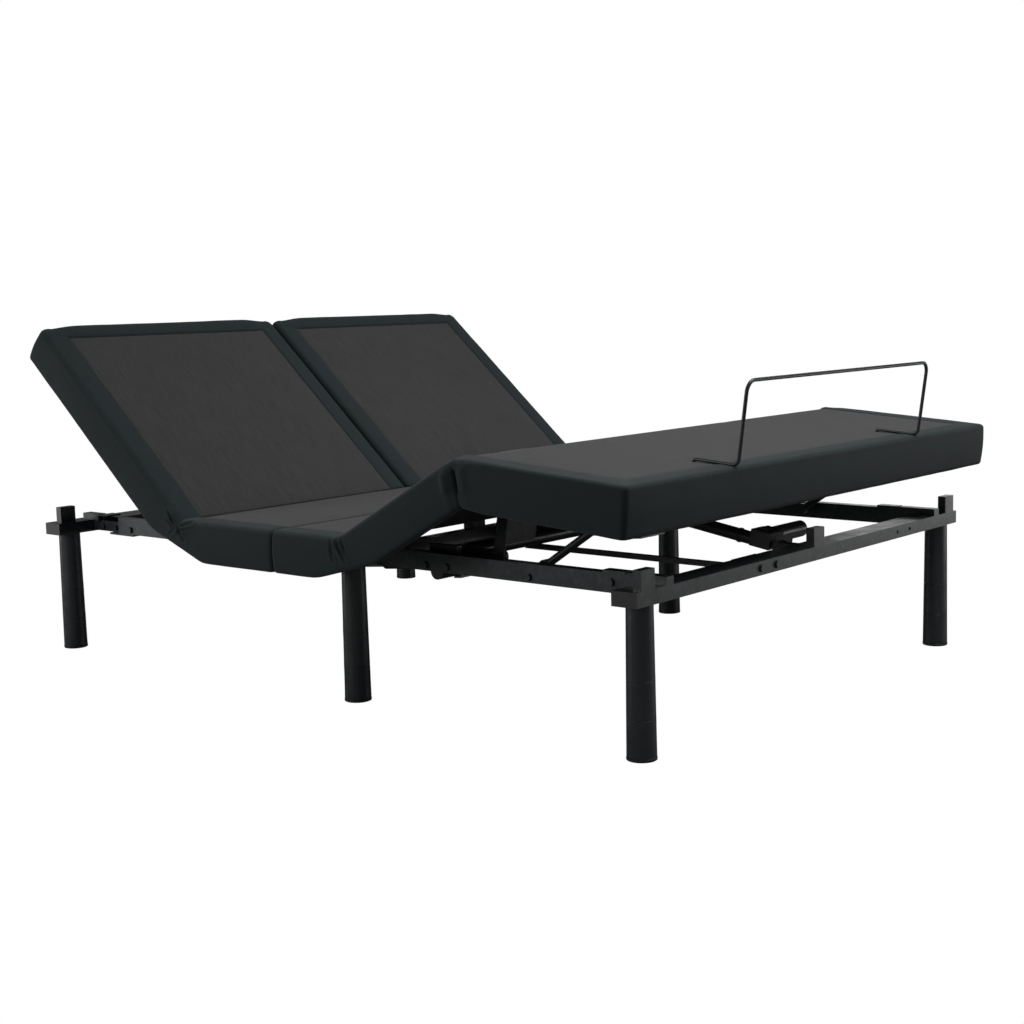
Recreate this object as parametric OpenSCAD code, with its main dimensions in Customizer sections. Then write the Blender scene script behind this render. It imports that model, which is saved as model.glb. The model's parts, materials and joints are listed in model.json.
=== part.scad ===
// Queen adjustable bed base with a split head, raised back and raised knees.
// Frame: +X to the right of someone standing at the foot, +Y to the head, +Z up.
// The origin is on the floor under the middle of the whole base.
// Lengths along the base ("_y") count from the centre line of the foot crossbar.

/* [Deck] */
// Width over the upholstered deck
deck_w = 1514; // [1400:1:1900]
// Height of the level part of the deck above the legs
deck_rise = 91; // [89:1:95]
// Length of each back section
back_l = 685; // [640:1:720]
// Place of the hinge line between seat and back
back_hinge_y = 1214; // [1195:1:1220]
// Place of the hinge line between seat and thigh section
thigh_hinge_y = 692; // [685:1:710]
// Length of the thigh section
thigh_l = 380; // [360:1:400]
// Length of the foot section
foot_l = 428; // [415:1:440]
// Place of the crack where the seat splits for shipping
half_y = 900; // [880:1:940]
// Width of the crack in the seat
half_gap = 2; // [1:0.5:4]
// Gap between the left and right back sections
split_gap = 12; // [8:1:20]
// Height of the upholstered sides
side_h = 92; // [80:1:94]
// Height of the sides along the split between the back sections
split_side_h = 38; // [30:1:42]
// Thickness of the deck boards
board_t = 15; // [12:0.5:16]
// Thickness of the side boards
side_t = 15; // [12:1:16]
// Thickness of the padded fabric cover
cover_t = 5; // [3:0.5:6]
// Plan radius of the covered outer corners
corner_r = 18; // [10:1:30]
// Distance from a hinge line to the end of each board
hinge_gap = 4; // [4:0.5:6]
// Where the sides start to rise towards the back hinges
back_hem_start = 70; // [40:1:90]
// Where the sides start to rise towards the thigh hinge
thigh_hem_start = 75; // [40:1:90]

/* [Stored pose] */
// Slope of the back sections as stored
back_angle = 40.95; // [20:0.05:55]
// Slope of the thigh section as stored
thigh_angle = 28.9; // [20:0.1:31]
// Fall of the foot section as stored
foot_fall = 4.5; // [3:0.1:6]
// Steepest slope of the thigh section
thigh_angle_max = 32; // [32:0.5:34]

/* [Legs] */
// Height of each leg
leg_h = 305; // [150:1:305]
// Leg diameter at the top
leg_top_d = 54; // [40:1:56]
// Leg diameter at the floor
leg_bottom_d = 60; // [44:1:64]
// Length of the long upper segment of each leg
leg_long_l = 148; // [100:1:160]
// Length of the short middle segment of each leg
leg_short_l = 76; // [40:1:80]
// Height of the plastic glide under each leg
glide_h = 6; // [4:0.5:12]
// How far the glide stands out around the leg
glide_lip = 0.5; // [0.25:0.25:3]
// Half distance between the left and right corner legs
leg_x = 628; // [600:1:635]
// Half distance between the two middle legs
mid_leg_x = 610; // [602:1:640]
// Place of the middle legs
mid_leg_y = 798; // [770:1:830]
// Diameter of the threaded stud in each leg
stud_d = 10; // [8:1:12]
// Length of each stud inside its leg
stud_in_leg = 30; // [20:1:40]
// Chamfer at the ends of each leg segment
leg_edge = 0.6; // [0.4:0.1:2.5]

/* [Frame] */
// Distance between the foot crossbar and the head crossbar
frame_l = 1845; // [1840:1:1850]
// Length of the crossbars over their end caps
crossbar_l = 1356; // [1340:1:1380]
// Width of the crossbars along the base
crossbar_w = 60; // [50:1:66]
// Height of the crossbars
crossbar_h = 30; // [26:1:32]
// Wall of every steel tube
tube_wall = 2.5; // [1.5:0.5:3]
// Thickness of the crossbar end caps
cap_t = 3; // [2:0.5:4]
// Half distance between the outer faces of the side rails
rail_out_x = 581; // [575:1:590]
// Width of the side rails
rail_w = 25; // [20:1:28]
// Height of the side rails
rail_h = 40; // [34:1:42]
// How far the side rails stand above the crossbars
rail_rise = 13; // [11:0.5:15]
// Distance from the end of the rear side rails to the middle of the head crossbar
rail_end_gap = 150; // [147:1:160]
// How far the lap stubs reach past the crossbars along the rails
lap_reach = 34; // [20:1:35]
// Height of the lap stubs
lap_h = 17; // [14:1:18]
// Setback of the head lap stubs from the rear face of the head crossbar
lap_setback = 28; // [20:1:36]
// Length of the straps over the rail ends
strap_l = 57; // [40:1:60]
// Height of the bolt beside each strap above the underside of the rails
strap_bolt_rise = 22; // [16:1:26]
// Thickness of the steel straps and plates
plate_t = 5; // [3:0.5:6]
// Length of the plates that join the rail halves
splice_l = 130; // [80:1:160]
// Distance from the edge of each splice plate to the rail's edges
splice_inset = 4; // [2:1:8]
// Thickness of the thin strap over each rail end
strap_t = 3; // [2:0.5:4]
// Width of the deck posts
post_w = 44; // [36:1:50]
// Thickness of the deck posts
post_t = 20; // [14:1:24]
// Distance from a crossbar's end to its outer deck post
post_inset = 16; // [6:1:20]
// Setback of the head posts from the front face of the head crossbar
head_post_setback = 13; // [8:1:20]
// Width of the wide cross tube near the head
head_tube_w = 74; // [60:1:80]
// Height of the wide cross tube near the head
head_tube_h = 30; // [20:1:34]
// Depth of the recess at the rear rail ends
side_plate_recess = 11; // [8:1:14]
// Place of the cross tube that carries the head actuators
front_tube_y = 645; // [640:1:652]
// Width and height of the two inner cross tubes
inner_tube = 30; // [24:1:32]
// Width and height of the thin brace under the left half
brace_size = 12; // [10:1:14]
// Height of the thin brace above the legs
brace_rise = 1; // [0:0.5:3]
// Thickness of the plate that bolts the thin brace to the foot crossbar
brace_plate_t = 4; // [2:0.5:5]
// Height of the two inner cross tubes above the underside of the rails
inner_tube_rise = 2; // [0:0.5:4]
// Length of the flange under each rear rail end
flange_l = 97; // [80:1:110]
// How far the flange reaches behind the rear rail end
flange_past = 38; // [20:1:60]
// Length of the strap over the rear rail ends
head_strap_l = 35; // [25:1:50]
// Reach of the head strap over the wide cross tube
head_strap_in = 40; // [20:1:60]
// Distance from the foot crossbar to the strap over each front rail
strap_start = 37; // [35:1:60]
// Clearance under the deck where it rests on a post
rest_gap = 0.3; // [0.2:0.05:0.5]
// Running clearance between parts that turn in each other
run_fit = 0.3; // [0.2:0.05:0.4]

/* [Hinges] */
// Outer diameter of the hinge knuckles
knuckle_d = 7; // [6:0.5:7]
// Diameter of the hinge pins
hinge_pin_d = 3; // [2.5:0.5:4]
// Length of one hinge knuckle
knuckle_l = 24; // [16:1:30]
// Length of a hinge leaf from the pin
leaf_l = 34; // [26:1:44]
// Thickness of the hinge leaves
leaf_t = 1.5; // [1:0.25:2]
// How far each leaf's root reaches past the gap between the boards
leaf_root = 1; // [0.5:0.5:2]
// Gap around each hinge leaf in its pocket
pocket_gap = 0.5; // [0.3:0.1:1]
// Distance from the back hinges to the edges of each back section
back_hinge_inset = 150; // [120:5:200]
// Distance from the outer thigh and foot hinges to the edges of the deck
wide_hinge_inset = 190; // [150:5:250]
// Spare angle between the board ends that close at the knee
mitre_spare = 0.3; // [0.2:0.1:1]

/* [Back lift] */
// Place of the back lift torque tubes
back_lift_y = 1110; // [1105:1:1116]
// Depth of the back lift torque tubes below the hinge line
back_lift_drop = 61; // [58:1:64]
// Diameter of the back lift torque tubes
lift_tube_d = 28; // [24:1:30]
// Length of the back lift arms
back_arm_l = 400; // [380:1:420]
// Distance between the two arms of one back section
back_arm_spread = 180; // [140:1:200]
// Centre of each back lift from the middle of the base
back_lift_x = 310; // [300:1:320]
// Height of the flat bar of the lift arms
arm_h = 30; // [24:1:32]
// Diameter of the round ends and elbows of the cranked arms
arm_hub_d = 33; // [32.5:0.5:35]
// Thickness of the flat bar of the lift arms
arm_t = 8; // [6:0.5:10]
// Round bosses of a cranked arm standing out of each face
boss_proud = 1; // [0.5:0.5:2]
// Diameter of the nylon glide discs
glide_disc_d = 36; // [30:1:38]
// Width of the nylon glide discs
glide_disc_w = 12; // [8:1:16]
// Gap between the glide discs and the deck board as stored
glide_gap = 1.3; // [1.2:0.1:2]
// Length of the levers that the head actuators push
back_lever_l = 90; // [84:1:94]
// Direction of those levers as stored, from the line to the head
back_lever_angle = -81; // [-84:0.5:-78]

// Distance from the lift tube to the elbow of each arm
elbow_at = 118; // [105:1:125]
// Direction of the elbow from the lift tube as stored, in degrees
elbow_angle = -10; // [-14:0.5:-6]
// Inner end of each lift tube from the middle of the base
inner_bearing_x = 52; // [30:1:70]
// Thickness of the bearing blocks
bearing_t = 16; // [12:1:20]
// Height of the knee bearing blocks above the rail plates
bearing_rise = 10; // [8:1:14]
// Half length of the bearing blocks along the base
bearing_half = 40; // [36:1:44]
// Half width of the inner bearing blocks along the base
inner_bearing_half = 22; // [19:1:26]

/* [Knee lift] */
// Place of the knee lift torque tube
knee_lift_y = 574; // [570:1:578]
// Height of the knee lift torque tube above the legs
knee_lift_rise = 33; // [30:1:35]
// Diameter of the knee lift torque tube
knee_tube_d = 32; // [28:1:34]
// Place of the lower link pivot as stored
link_low_y = 441; // [438:1:444]
// Height of the lower link pivot above the legs as stored
link_low_rise = 39; // [36:1:42]
// Place of the upper link pivot as stored
link_top_y = 427; // [424:1:430]
// Height of the upper link pivot above the legs as stored
link_top_rise = 121.5; // [118:0.5:125]
// Half distance between the two knee lift arms
link_x = 515; // [510:1:517]
// Width of the lift links
link_w = 30; // [26:1:32]
// Length of the folded link across the base
link_web = 100; // [70:1:120]
// Thickness of the folded link sheet
link_t = 4; // [3:0.5:5]
// Gap between each knee lift arm and the link beside it
link_clear = 5; // [4:0.5:6]
// Free play of the arm pin in the link's slot to each side
link_play = 7.5; // [7:0.5:8]
// Diameter of the link and strut pins
pivot_d = 8; // [6:0.5:10]
// Length of the knee lever that the foot actuator pushes
knee_lever_l = 75; // [72:1:78]
// Direction of that lever as stored, from the line to the head
knee_lever_angle = 115; // [112:0.5:118]
// Place of the lower strut pivot
strut_low_y = 315; // [312:1:318]
// Height of the lower strut pivot above the legs
strut_low_rise = 31; // [29:0.5:33]
// Distance from the knee to the upper strut pivot
strut_top_along = 313; // [308:1:316]
// Depth of the upper strut pivot below the hinge line
strut_top_drop = 40; // [38:0.5:42]
// Half distance between the two struts
strut_x = 522; // [520:1:524]
// Diameter of the struts
strut_d = 17; // [14:1:20]

// Width of the link's and strut's bracket plates
bracket_w = 20; // [16:1:20]
// Thickness of the bracket plates
bracket_t = 6; // [4:0.5:8]
// Diameter of the eyes on the struts
strut_eye_d = 26; // [22:1:28]
// Width of the eyes on the struts
strut_eye_w = 18; // [18:1:20]
// Free play of the upper pin in the strut's eye to each side
strut_play = 1.5; // [1:0.1:2]
// Diameter of the boss that carries each strut on its rail
strut_boss_d = 20; // [16:1:24]

/* [Actuators] */
// Place of the foot actuator's rear pivot
foot_act_y = 70; // [68:1:74]
// Height of the foot actuator's rear pivot above the legs
foot_act_rise = 22; // [20:1:24]
// Place of the head actuators' rear pivots
head_act_y = 645; // [640:1:650]
// Height of the head actuators' rear pivots above the legs
head_act_rise = -20; // [-22:1:-17]
// Diameter of the actuator tubes
act_tube_d = 30; // [28:1:32]
// Diameter of the actuator rods
act_rod_d = 20; // [16:1:22]
// Length of the gear housing along the actuator
gear_l = 50; // [44:1:60]
// Height of the gear housing across the actuator
gear_h = 38; // [32:1:44]
// Width of the gear housing
gear_w = 50; // [44:1:56]
// Distance from the rear pivot to the gear housing
gear_start = 14; // [13.5:0.5:16]
// Depth of the middle of the gear housing below the motor's line
gear_drop = 3.5; // [1.5:0.5:8]
// Diameter of the round hump over the screw gear
hump_d = 36; // [32:1:40]
// Distance from the gear housing's rear face to the middle of the hump
hump_at = 32; // [28:1:34]
// Height of the hump above the motor's line
hump_rise = 3; // [0:0.5:6]
// Diameter of the motor
motor_d = 38; // [34:1:42]
// Length of the motor beside its seat
motor_l = 112; // [80:1:116]
// Length of the seat between the gear housing and the motor
motor_seat_l = 14; // [8:1:20]
// Distance from the edges of the seat to the edges of the gear housing
motor_seat_edge = 3; // [1:0.5:6]
// Height of the foot motor above its actuator's line
motor_rise = 12; // [8:1:14]
// Distance from the front of the gear housing to the end switch case
switch_at = 7; // [7:1:12]
// Length of the end switch case under the motor
switch_l = 52; // [30:1:70]
// Width of the end switch case along the actuator
switch_w = 23; // [16:1:30]
// Height of the end switch case below the motor's line
switch_h = 24; // [21:1:26]
// Length of the actuator tubes from the gear housing
act_tube_l = 286; // [270:1:290]
// Place of the collar on each actuator tube, from the gear housing
collar_at = 38; // [20:1:60]
// Overlap of each rod inside its tube as stored
rod_inside = 150; // [120:1:180]
// Diameter of the plain eye at the rear pivot
rear_eye_d = 24; // [20:1:28]
// Thickness of the clevis plates
clevis_t = 5; // [3:0.5:6]
// Width of the collar on each actuator tube
collar_w = 4; // [3:1:14]
// Diameter of the collar on each actuator tube
collar_d = 34; // [33:1:42]
// Wall of the rod's wide eye around its hole
rod_eye_wall = 7; // [6:0.5:8]
// Diameter of the actuator pivot pins
act_pin_d = 10; // [8:1:12]
// Thickness of the actuator eyes
eye_t = 16; // [12:1:18]
// Gap between each rod eye and the plates of its lever
fork_gap = 2.5; // [2.25:0.25:3]
// Free play of a lever pin in a rod eye
eye_play = 8.2; // [8:0.1:9]

/* [Retainer bar] */
// Half distance between the uprights of the mattress retainer bar
bar_x = 386; // [340:1:420]
// Height of the bar above the deck
bar_h = 170; // [120:1:220]
// Diameter of the bar
bar_d = 8; // [6:0.5:10]
// Gap between the bar's feet and the padded deck
bar_gap = 0.3; // [0.2:0.1:1]
// Length of the bar's feet on the deck
bar_foot = 106; // [80:1:140]
// Lean of the bar away from the deck
bar_lean = 3.5; // [0:0.5:6]
// Radius of the bar's upper corners
bar_top_r = 24; // [14:1:40]
// Radius of the bar's lower bends
bar_low_r = 14; // [10:1:24]
// How far the bar's uprights stand past the foot end of the deck
bar_past = 2; // [0:0.5:5]

/* [Small parts] */
// Diameter of the frame bolt heads
bolt_head_d = 16; // [12:1:18]
// Height of the frame bolt heads
bolt_head_h = 5; // [3:0.5:7]
// Diameter of the open accessory holes
open_hole_d = 9; // [6:0.5:11]
// Place of the two open holes in the foot crossbar
open_hole_x = 396; // [380:1:420]
// Distance between holes of a pair
hole_pitch = 61; // [50:1:70]
// Place of the bolt pair in the foot crossbar
bolt_pair_x = -208; // [-220:1:-180]
// Place of the headboard bracket holes
headboard_x = 520; // [480:1:530]
// Length, depth and height of the control box
box_l = 210; // [160:1:230]
// Depth of the control box along the base
box_w = 96; // [70:1:106]
// Height of the control box
box_h = 36; // [28:1:40]

// Size of the chamfered edges of the control box
box_edge = 8; // [4:1:14]
// Width of the power inlet
inlet_w = 48; // [30:1:60]
// Height of the power inlet
inlet_h = 26; // [20:1:28]
// How far the power inlet stands out of the control box
inlet_out = 9; // [6:1:14]
// Distance of the two bearing bolts from each lift tube
bolt_at = 31; // [28:1:34]
// Length of each seat support
support_l = 44; // [30:1:60]
// Places of the seat supports along the rails
support_y = [716, 838, 918, 1160];
// Place of the inner seat supports
inner_support_x = 180; // [130:5:400]
// Depth of the retainer bar's pegs below the deck board
bar_peg = 7; // [4:1:12]
// Depth that the retainer bar's straight lengths are let into its bends
bar_lap = 0.3; // [0.2:0.05:0.4]
// Difference between the diameters of its bends and straight lengths
bar_step = 0.1; // [0.06:0.02:0.2]
// Radius of the retainer bar's bends into the deck
bar_peg_r = 6; // [5:0.5:8]
// Clearance around the retainer bar's pegs in their holes
bar_hole_play = 1.5; // [1:0.25:3]
// Play of the knee link's slot along the link
link_slack = 1; // [0.8:0.1:2]

/* [Hidden] */
$fn = 48;

fabric = [0.13, 0.15, 0.15];
steel_black = [0.12, 0.12, 0.13];
wood = [0.62, 0.50, 0.36];
zinc = [0.65, 0.66, 0.68];
plastic = [0.08, 0.08, 0.09];
nylon = [0.85, 0.84, 0.80];
grey_tube = [0.42, 0.43, 0.45];
far = 1000;
cut = 1;

// Heights and places of the frame
cross_top = leg_h + crossbar_h;
rail_top = cross_top + rail_rise;
rail_bottom = rail_top - rail_h;
rail_in_x = rail_out_x - rail_w;
cross_front = -crossbar_w / 2;
cross_back = crossbar_w / 2;
head_front = frame_l - crossbar_w / 2;
head_back = frame_l + crossbar_w / 2;
rail_end_y = frame_l - rail_end_gap;
head_tube_y = rail_end_y + side_plate_recess;
inner_tube_z = rail_bottom + inner_tube_rise;
side_plate_x = rail_out_x - side_plate_recess;
mid_plate_t = rail_bottom - leg_h;
bolt_z = leg_h + crossbar_h / 2;
post_x = crossbar_l / 2 - post_inset - post_w / 2;

// Deck: the hinge lines lie in the top face of the deck boards
deck_top_z = leg_h + deck_rise;
axis_z = deck_top_z - cover_t;
board_z = axis_z - board_t;
side_drop = side_h - cover_t;
split_drop = split_side_h - cover_t;
knee_ratio = (thigh_angle + foot_fall) / thigh_angle;
mitre = thigh_angle_max * knee_ratio / 2 + mitre_spare;
knee_y = thigh_hinge_y - thigh_l * cos(thigh_angle);
knee_z = axis_z + thigh_l * sin(thigh_angle);
back_hinge_x = [back_hinge_inset, deck_w / 2 - back_hinge_inset];
wide_hinge_x = [-deck_w / 2 + wide_hinge_inset, 0, deck_w / 2 - wide_hinge_inset];
hinge_half = 1.5 * knuckle_l;

// Back lift: the discs just clear the boards as stored
back_lift_z = axis_z - back_lift_drop;
disc_line = -board_t - glide_disc_d / 2 - glide_gap;
back_lift_across = -sin(back_angle) * (back_lift_y - back_hinge_y) - cos(back_angle) * back_lift_drop;
back_arm_angle = back_angle + asin((disc_line - back_lift_across) / back_arm_l);
back_lever_y = back_lift_y + back_lever_l * cos(back_lever_angle);
back_lever_z = back_lift_z + back_lever_l * sin(back_lever_angle);

// Knee lift
knee_lift_z = leg_h + knee_lift_rise;
link_low_z = leg_h + link_low_rise;
link_top_z = leg_h + link_top_rise;
strut_low_z = leg_h + strut_low_rise;
knee_arm_l = norm([link_low_y - knee_lift_y, link_low_z - knee_lift_z]);
knee_arm_angle = atan2(link_low_z - knee_lift_z, link_low_y - knee_lift_y);
link_l = norm([link_low_y - link_top_y, link_low_z - link_top_z]);
link_angle = atan2(link_low_z - link_top_z, link_low_y - link_top_y);
knee_lever_y = knee_lift_y + knee_lever_l * cos(knee_lever_angle);
knee_lever_z = knee_lift_z + knee_lever_l * sin(knee_lever_angle);
link_out_x = link_x + arm_t / 2 + link_clear;
thigh_pin = [for (v = [[link_top_y - thigh_hinge_y, link_top_z - axis_z]])
    [-v[0] * cos(thigh_angle) + v[1] * sin(thigh_angle), v[0] * sin(thigh_angle) + v[1] * cos(thigh_angle)]][0];
strut_top_y = knee_y - strut_top_along * cos(foot_fall) + strut_top_drop * sin(foot_fall);
strut_top_z = knee_z - strut_top_along * sin(foot_fall) - strut_top_drop * cos(foot_fall);
strut_l = norm([strut_top_y - strut_low_y, strut_top_z - strut_low_z]);
strut_angle = atan2(strut_top_z - strut_low_z, strut_top_y - strut_low_y);

// Actuators: length and slope from the rear pivot to the lever pin
foot_act_z = leg_h + foot_act_rise;
head_act_z = leg_h + head_act_rise;
foot_act_l = norm([knee_lever_y - foot_act_y, knee_lever_z - foot_act_z]);
foot_act_angle = atan2(knee_lever_z - foot_act_z, knee_lever_y - foot_act_y);
head_act_l = norm([back_lever_y - head_act_y, back_lever_z - head_act_z]);
head_act_angle = atan2(back_lever_z - head_act_z, back_lever_y - head_act_y);
fork_in = eye_t / 2 + fork_gap;
rod_eye_d = act_pin_d + 2 * eye_play + 2 * rod_eye_wall;
gear_end = gear_start + gear_l;

// Retainer bar, in the foot section's own directions
bar_z = cover_t + bar_d / 2 + bar_gap;
bar_out = foot_l + bar_past;
bar_turn = 90 - bar_lean;
bar_up = bar_h - bar_low_r;
bar_bend_z = bar_z + bar_low_r * (1 - cos(bar_turn));
bar_bend_y = bar_out - bar_low_r * sin(bar_turn);
bar_top_out = bar_out + bar_up * cos(bar_turn);
bar_top_z = bar_bend_z + bar_up * sin(bar_turn);

// Middle of the whole base along its length
y_front = knee_y - bar_top_out * cos(foot_fall) - bar_top_z * sin(foot_fall) - bar_d / 2;
y_middle = (y_front + head_back) / 2;

// ---- places ----

module base() { translate([0, -y_middle, 0]) children(); }

module seat_place() { base() translate([0, 0, axis_z]) children(); }

module back_place() {
    base() translate([0, back_hinge_y, axis_z]) rotate([back_angle, 0, 0]) children();
}

module thigh_place() {
    base() translate([0, thigh_hinge_y, axis_z]) rotate([0, 0, 180]) rotate([thigh_angle, 0, 0])
        children();
}

module foot_place() {
    base() translate([0, knee_y, knee_z]) rotate([0, 0, 180]) rotate([-foot_fall, 0, 0]) children();
}

module both_sides() {
    children();
    mirror([1, 0, 0]) children();
}

// ---- shared shapes ----

module block(x, y, z) {
    translate([x[0], y[0], z[0]]) cube([x[1] - x[0], y[1] - y[0], z[1] - z[0]]);
}

module tube_along_x(x, y, z, wall = tube_wall) {
    difference() {
        block(x, y, z);
        block([x[0] - cut, x[1] + cut], [y[0] + wall, y[1] - wall], [z[0] + wall, z[1] - wall]);
    }
}

module tube_along_y(x, y, z, wall = tube_wall) {
    difference() {
        block(x, y, z);
        block([x[0] + wall, x[1] - wall], [y[0] - cut, y[1] + cut], [z[0] + wall, z[1] - wall]);
    }
}

module rod_x(x, y, z, d) {
    translate([x[0], y, z]) rotate([0, 90, 0]) cylinder(h = x[1] - x[0], d = d);
}

// Flat bar across X between two round ends, lying from the origin along +Y
module flat_bar(x, l, w, d0, d1) {
    rod_x(x, 0, 0, d0);
    rod_x(x, l, 0, d1);
    block(x, [0, l], [-w / 2, w / 2]);
}

// Plan outline whose two corners at the far end are rounded by r
module plan(x, y, r) {
    if (r > 0) {
        translate([x[0], y[0]]) square([x[1] - x[0], y[1] - y[0] - r]);
        translate([x[0] + r, y[0]]) square([x[1] - x[0] - 2 * r, y[1] - y[0]]);
        for (c = [x[0] + r, x[1] - r]) translate([c, y[1] - r]) circle(r = r);
    } else {
        translate([x[0], y[0]]) square([x[1] - x[0], y[1] - y[0]]);
    }
}

module slab(x, y, r, z) {
    translate([0, 0, z[0]]) linear_extrude(height = z[1] - z[0]) plan(x, y, r);
}

// ---- deck sections: board, side boards and padded cover ----

function inside(x, d) = [x[0] + d, x[1] - d];

module deck_board(x, y, r) {
    slab(inside(x, cover_t), y, r, [-board_t, 0]);
}

// drops: how far the side at x[0] and the side at x[1] hang below the hinge line
module deck_sides(x, y, r, drops, closed) {
    for (side = [0, 1]) {
        edge = side == 0 ? x[0] + cover_t : x[1] - cover_t - side_t;
        intersection() {
            slab(inside(x, cover_t), y, r, [-drops[side], -board_t]);
            block([edge, edge + side_t], [y[0] - cut, y[1] + cut], [-drops[side], -board_t]);
        }
    }
    if (closed)
        block(inside(x, cover_t + side_t + rest_gap), [y[1] - side_t, y[1]], [-side_drop, -board_t]);
}

module deck_cover(x, y, r, drops, closed) {
    inner_y = [y[0] - cut, closed ? y[1] - cover_t : y[1] + cut];
    difference() {
        slab(x, y, r, [-side_drop, cover_t]);
        slab(inside(x, cover_t), inner_y, closed ? r - cover_t : 0, [-side_drop - cut, 0]);
        for (side = [0, 1]) if (drops[side] < side_drop)
            block([x[side] - 2 * cover_t, x[side] + 2 * cover_t], [y[0] - cut, y[1] - corner_r],
                [-side_drop - cut, -drops[side]]);
    }
}

// Material to take away at the knee, so that the sections close without meeting
module knee_cut() {
    block([-far, far], [-far, hinge_gap], [-far, far]);
    rotate([mitre, 0, 0]) block([-far, far], [-far, cut], [-far, 0]);
}

// Wedge to take away under the sides, which rise towards a hinge line at the origin
module hem_cut(start, angle) {
    rise = start * tan(angle / 2);
    translate([-deck_w / 2 - cut, 0, -side_drop]) rotate([90, 0, 90])
        linear_extrude(height = deck_w + 2 * cut)
            polygon([[-cut, -cut], [start, -cut], [start, 0], [0, rise], [-cut, rise]]);
}

// Pockets in a board for the hinge leaves, which lie along +Y from the pin
module leaf_pockets(places) {
    for (x = places)
        block([x - hinge_half - pocket_gap, x + hinge_half + pocket_gap], [0, leaf_l + pocket_gap],
            [-leaf_t, cut]);
}

module hinge_knuckle(x) {
    difference() {
        union() {
            rod_x(x, 0, 0, knuckle_d);
            block(x, [0, hinge_gap + leaf_root], [-leaf_t, 0]);
        }
        rod_x([x[0] - cut, x[1] + cut], 0, 0, hinge_pin_d + run_fit);
    }
}

// Leaf with two outer knuckles (carrier) or with the middle knuckle
module hinge_leaf(at, carrier) {
    half = knuckle_l / 2;
    translate([at, 0, 0]) {
        block([-hinge_half, hinge_half], [hinge_gap, leaf_l], [-leaf_t, 0]);
        if (carrier) {
            hinge_knuckle([-hinge_half, -half]);
            hinge_knuckle([half, hinge_half]);
        } else {
            hinge_knuckle([-half + run_fit, half - run_fit]);
        }
    }
}

module hinge_pin(at) {
    rod_x([at - hinge_half, at + hinge_half], 0, 0, hinge_pin_d);
}

seat_x = [-deck_w / 2, deck_w / 2];
left_x = [-deck_w / 2, -split_gap / 2];
full_drops = [side_drop, side_drop];
back_drops = [side_drop, split_drop];
rear_seat_y = [half_y + half_gap / 2, back_hinge_y - hinge_gap];
front_seat_y = [thigh_hinge_y + hinge_gap, half_y - half_gap / 2];
back_y = [hinge_gap, back_l];
foot_y = [0, foot_l];

module seat_boards() {
    color(wood) seat_place() difference() {
        for (y = [rear_seat_y, front_seat_y]) deck_board(seat_x, y, 0);
        translate([0, back_hinge_y, 0]) mirror([0, 1, 0]) both_sides() leaf_pockets(back_hinge_x);
        translate([0, thigh_hinge_y, 0]) leaf_pockets(wide_hinge_x);
    }
}

module seat_hem_cuts() {
    translate([0, back_hinge_y, 0]) mirror([0, 1, 0]) hem_cut(back_hem_start, back_angle);
    translate([0, thigh_hinge_y, 0]) hem_cut(thigh_hem_start, thigh_angle);
}

module seat_sides() {
    color(wood) seat_place() difference() {
        for (y = [rear_seat_y, front_seat_y]) deck_sides(seat_x, y, 0, full_drops, false);
        seat_hem_cuts();
    }
}

module seat_covers() {
    color(fabric) seat_place() difference() {
        for (y = [rear_seat_y, front_seat_y]) deck_cover(seat_x, y, 0, full_drops, false);
        seat_hem_cuts();
    }
}

module seat_hinge_leaves() {
    color(zinc) seat_place() {
        translate([0, back_hinge_y, 0]) mirror([0, 1, 0]) both_sides() for (x = back_hinge_x) {
            hinge_leaf(x, true);
            hinge_pin(x);
        }
        translate([0, thigh_hinge_y, 0]) for (x = wide_hinge_x) {
            hinge_leaf(x, true);
            hinge_pin(x);
        }
    }
}

module back_board() {
    color(wood) back_place() difference() {
        deck_board(left_x, [back_y[0], back_y[1] - cover_t], corner_r - cover_t);
        mirror([1, 0, 0]) leaf_pockets(back_hinge_x);
    }
}

module back_sides() {
    color(wood) back_place() difference() {
        deck_sides(left_x, [back_y[0], back_y[1] - cover_t], corner_r - cover_t, back_drops, true);
        hem_cut(back_hem_start, back_angle);
    }
}

module back_cover() {
    color(fabric) back_place() difference() {
        deck_cover(left_x, back_y, corner_r, back_drops, true);
        hem_cut(back_hem_start, back_angle);
    }
}

module back_hinges() {
    color(zinc) back_place() mirror([1, 0, 0]) for (x = back_hinge_x) hinge_leaf(x, false);
}

module back_board_left() { back_board(); }
module back_sides_left() { back_sides(); }
module back_cover_left() { back_cover(); }
module back_hinges_left() { back_hinges(); }
module back_board_right() { mirror([1, 0, 0]) back_board(); }
module back_sides_right() { mirror([1, 0, 0]) back_sides(); }
module back_cover_right() { mirror([1, 0, 0]) back_cover(); }
module back_hinges_right() { mirror([1, 0, 0]) back_hinges(); }

module at_knee() { translate([0, thigh_l, 0]) mirror([0, 1, 0]) children(); }

module thigh_board() {
    color(wood) thigh_place() difference() {
        deck_board(seat_x, [hinge_gap, thigh_l], 0);
        at_knee() knee_cut();
        leaf_pockets(wide_hinge_x);
        at_knee() leaf_pockets(wide_hinge_x);
    }
}

module thigh_sides() {
    color(wood) thigh_place() difference() {
        deck_sides(seat_x, [hinge_gap, thigh_l], 0, full_drops, false);
        hem_cut(thigh_hem_start, thigh_angle);
        at_knee() knee_cut();
    }
}

module thigh_cover() {
    color(fabric) thigh_place() difference() {
        deck_cover(seat_x, [hinge_gap, thigh_l], 0, full_drops, false);
        hem_cut(thigh_hem_start, thigh_angle);
        at_knee() knee_cut();
    }
}

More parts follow.
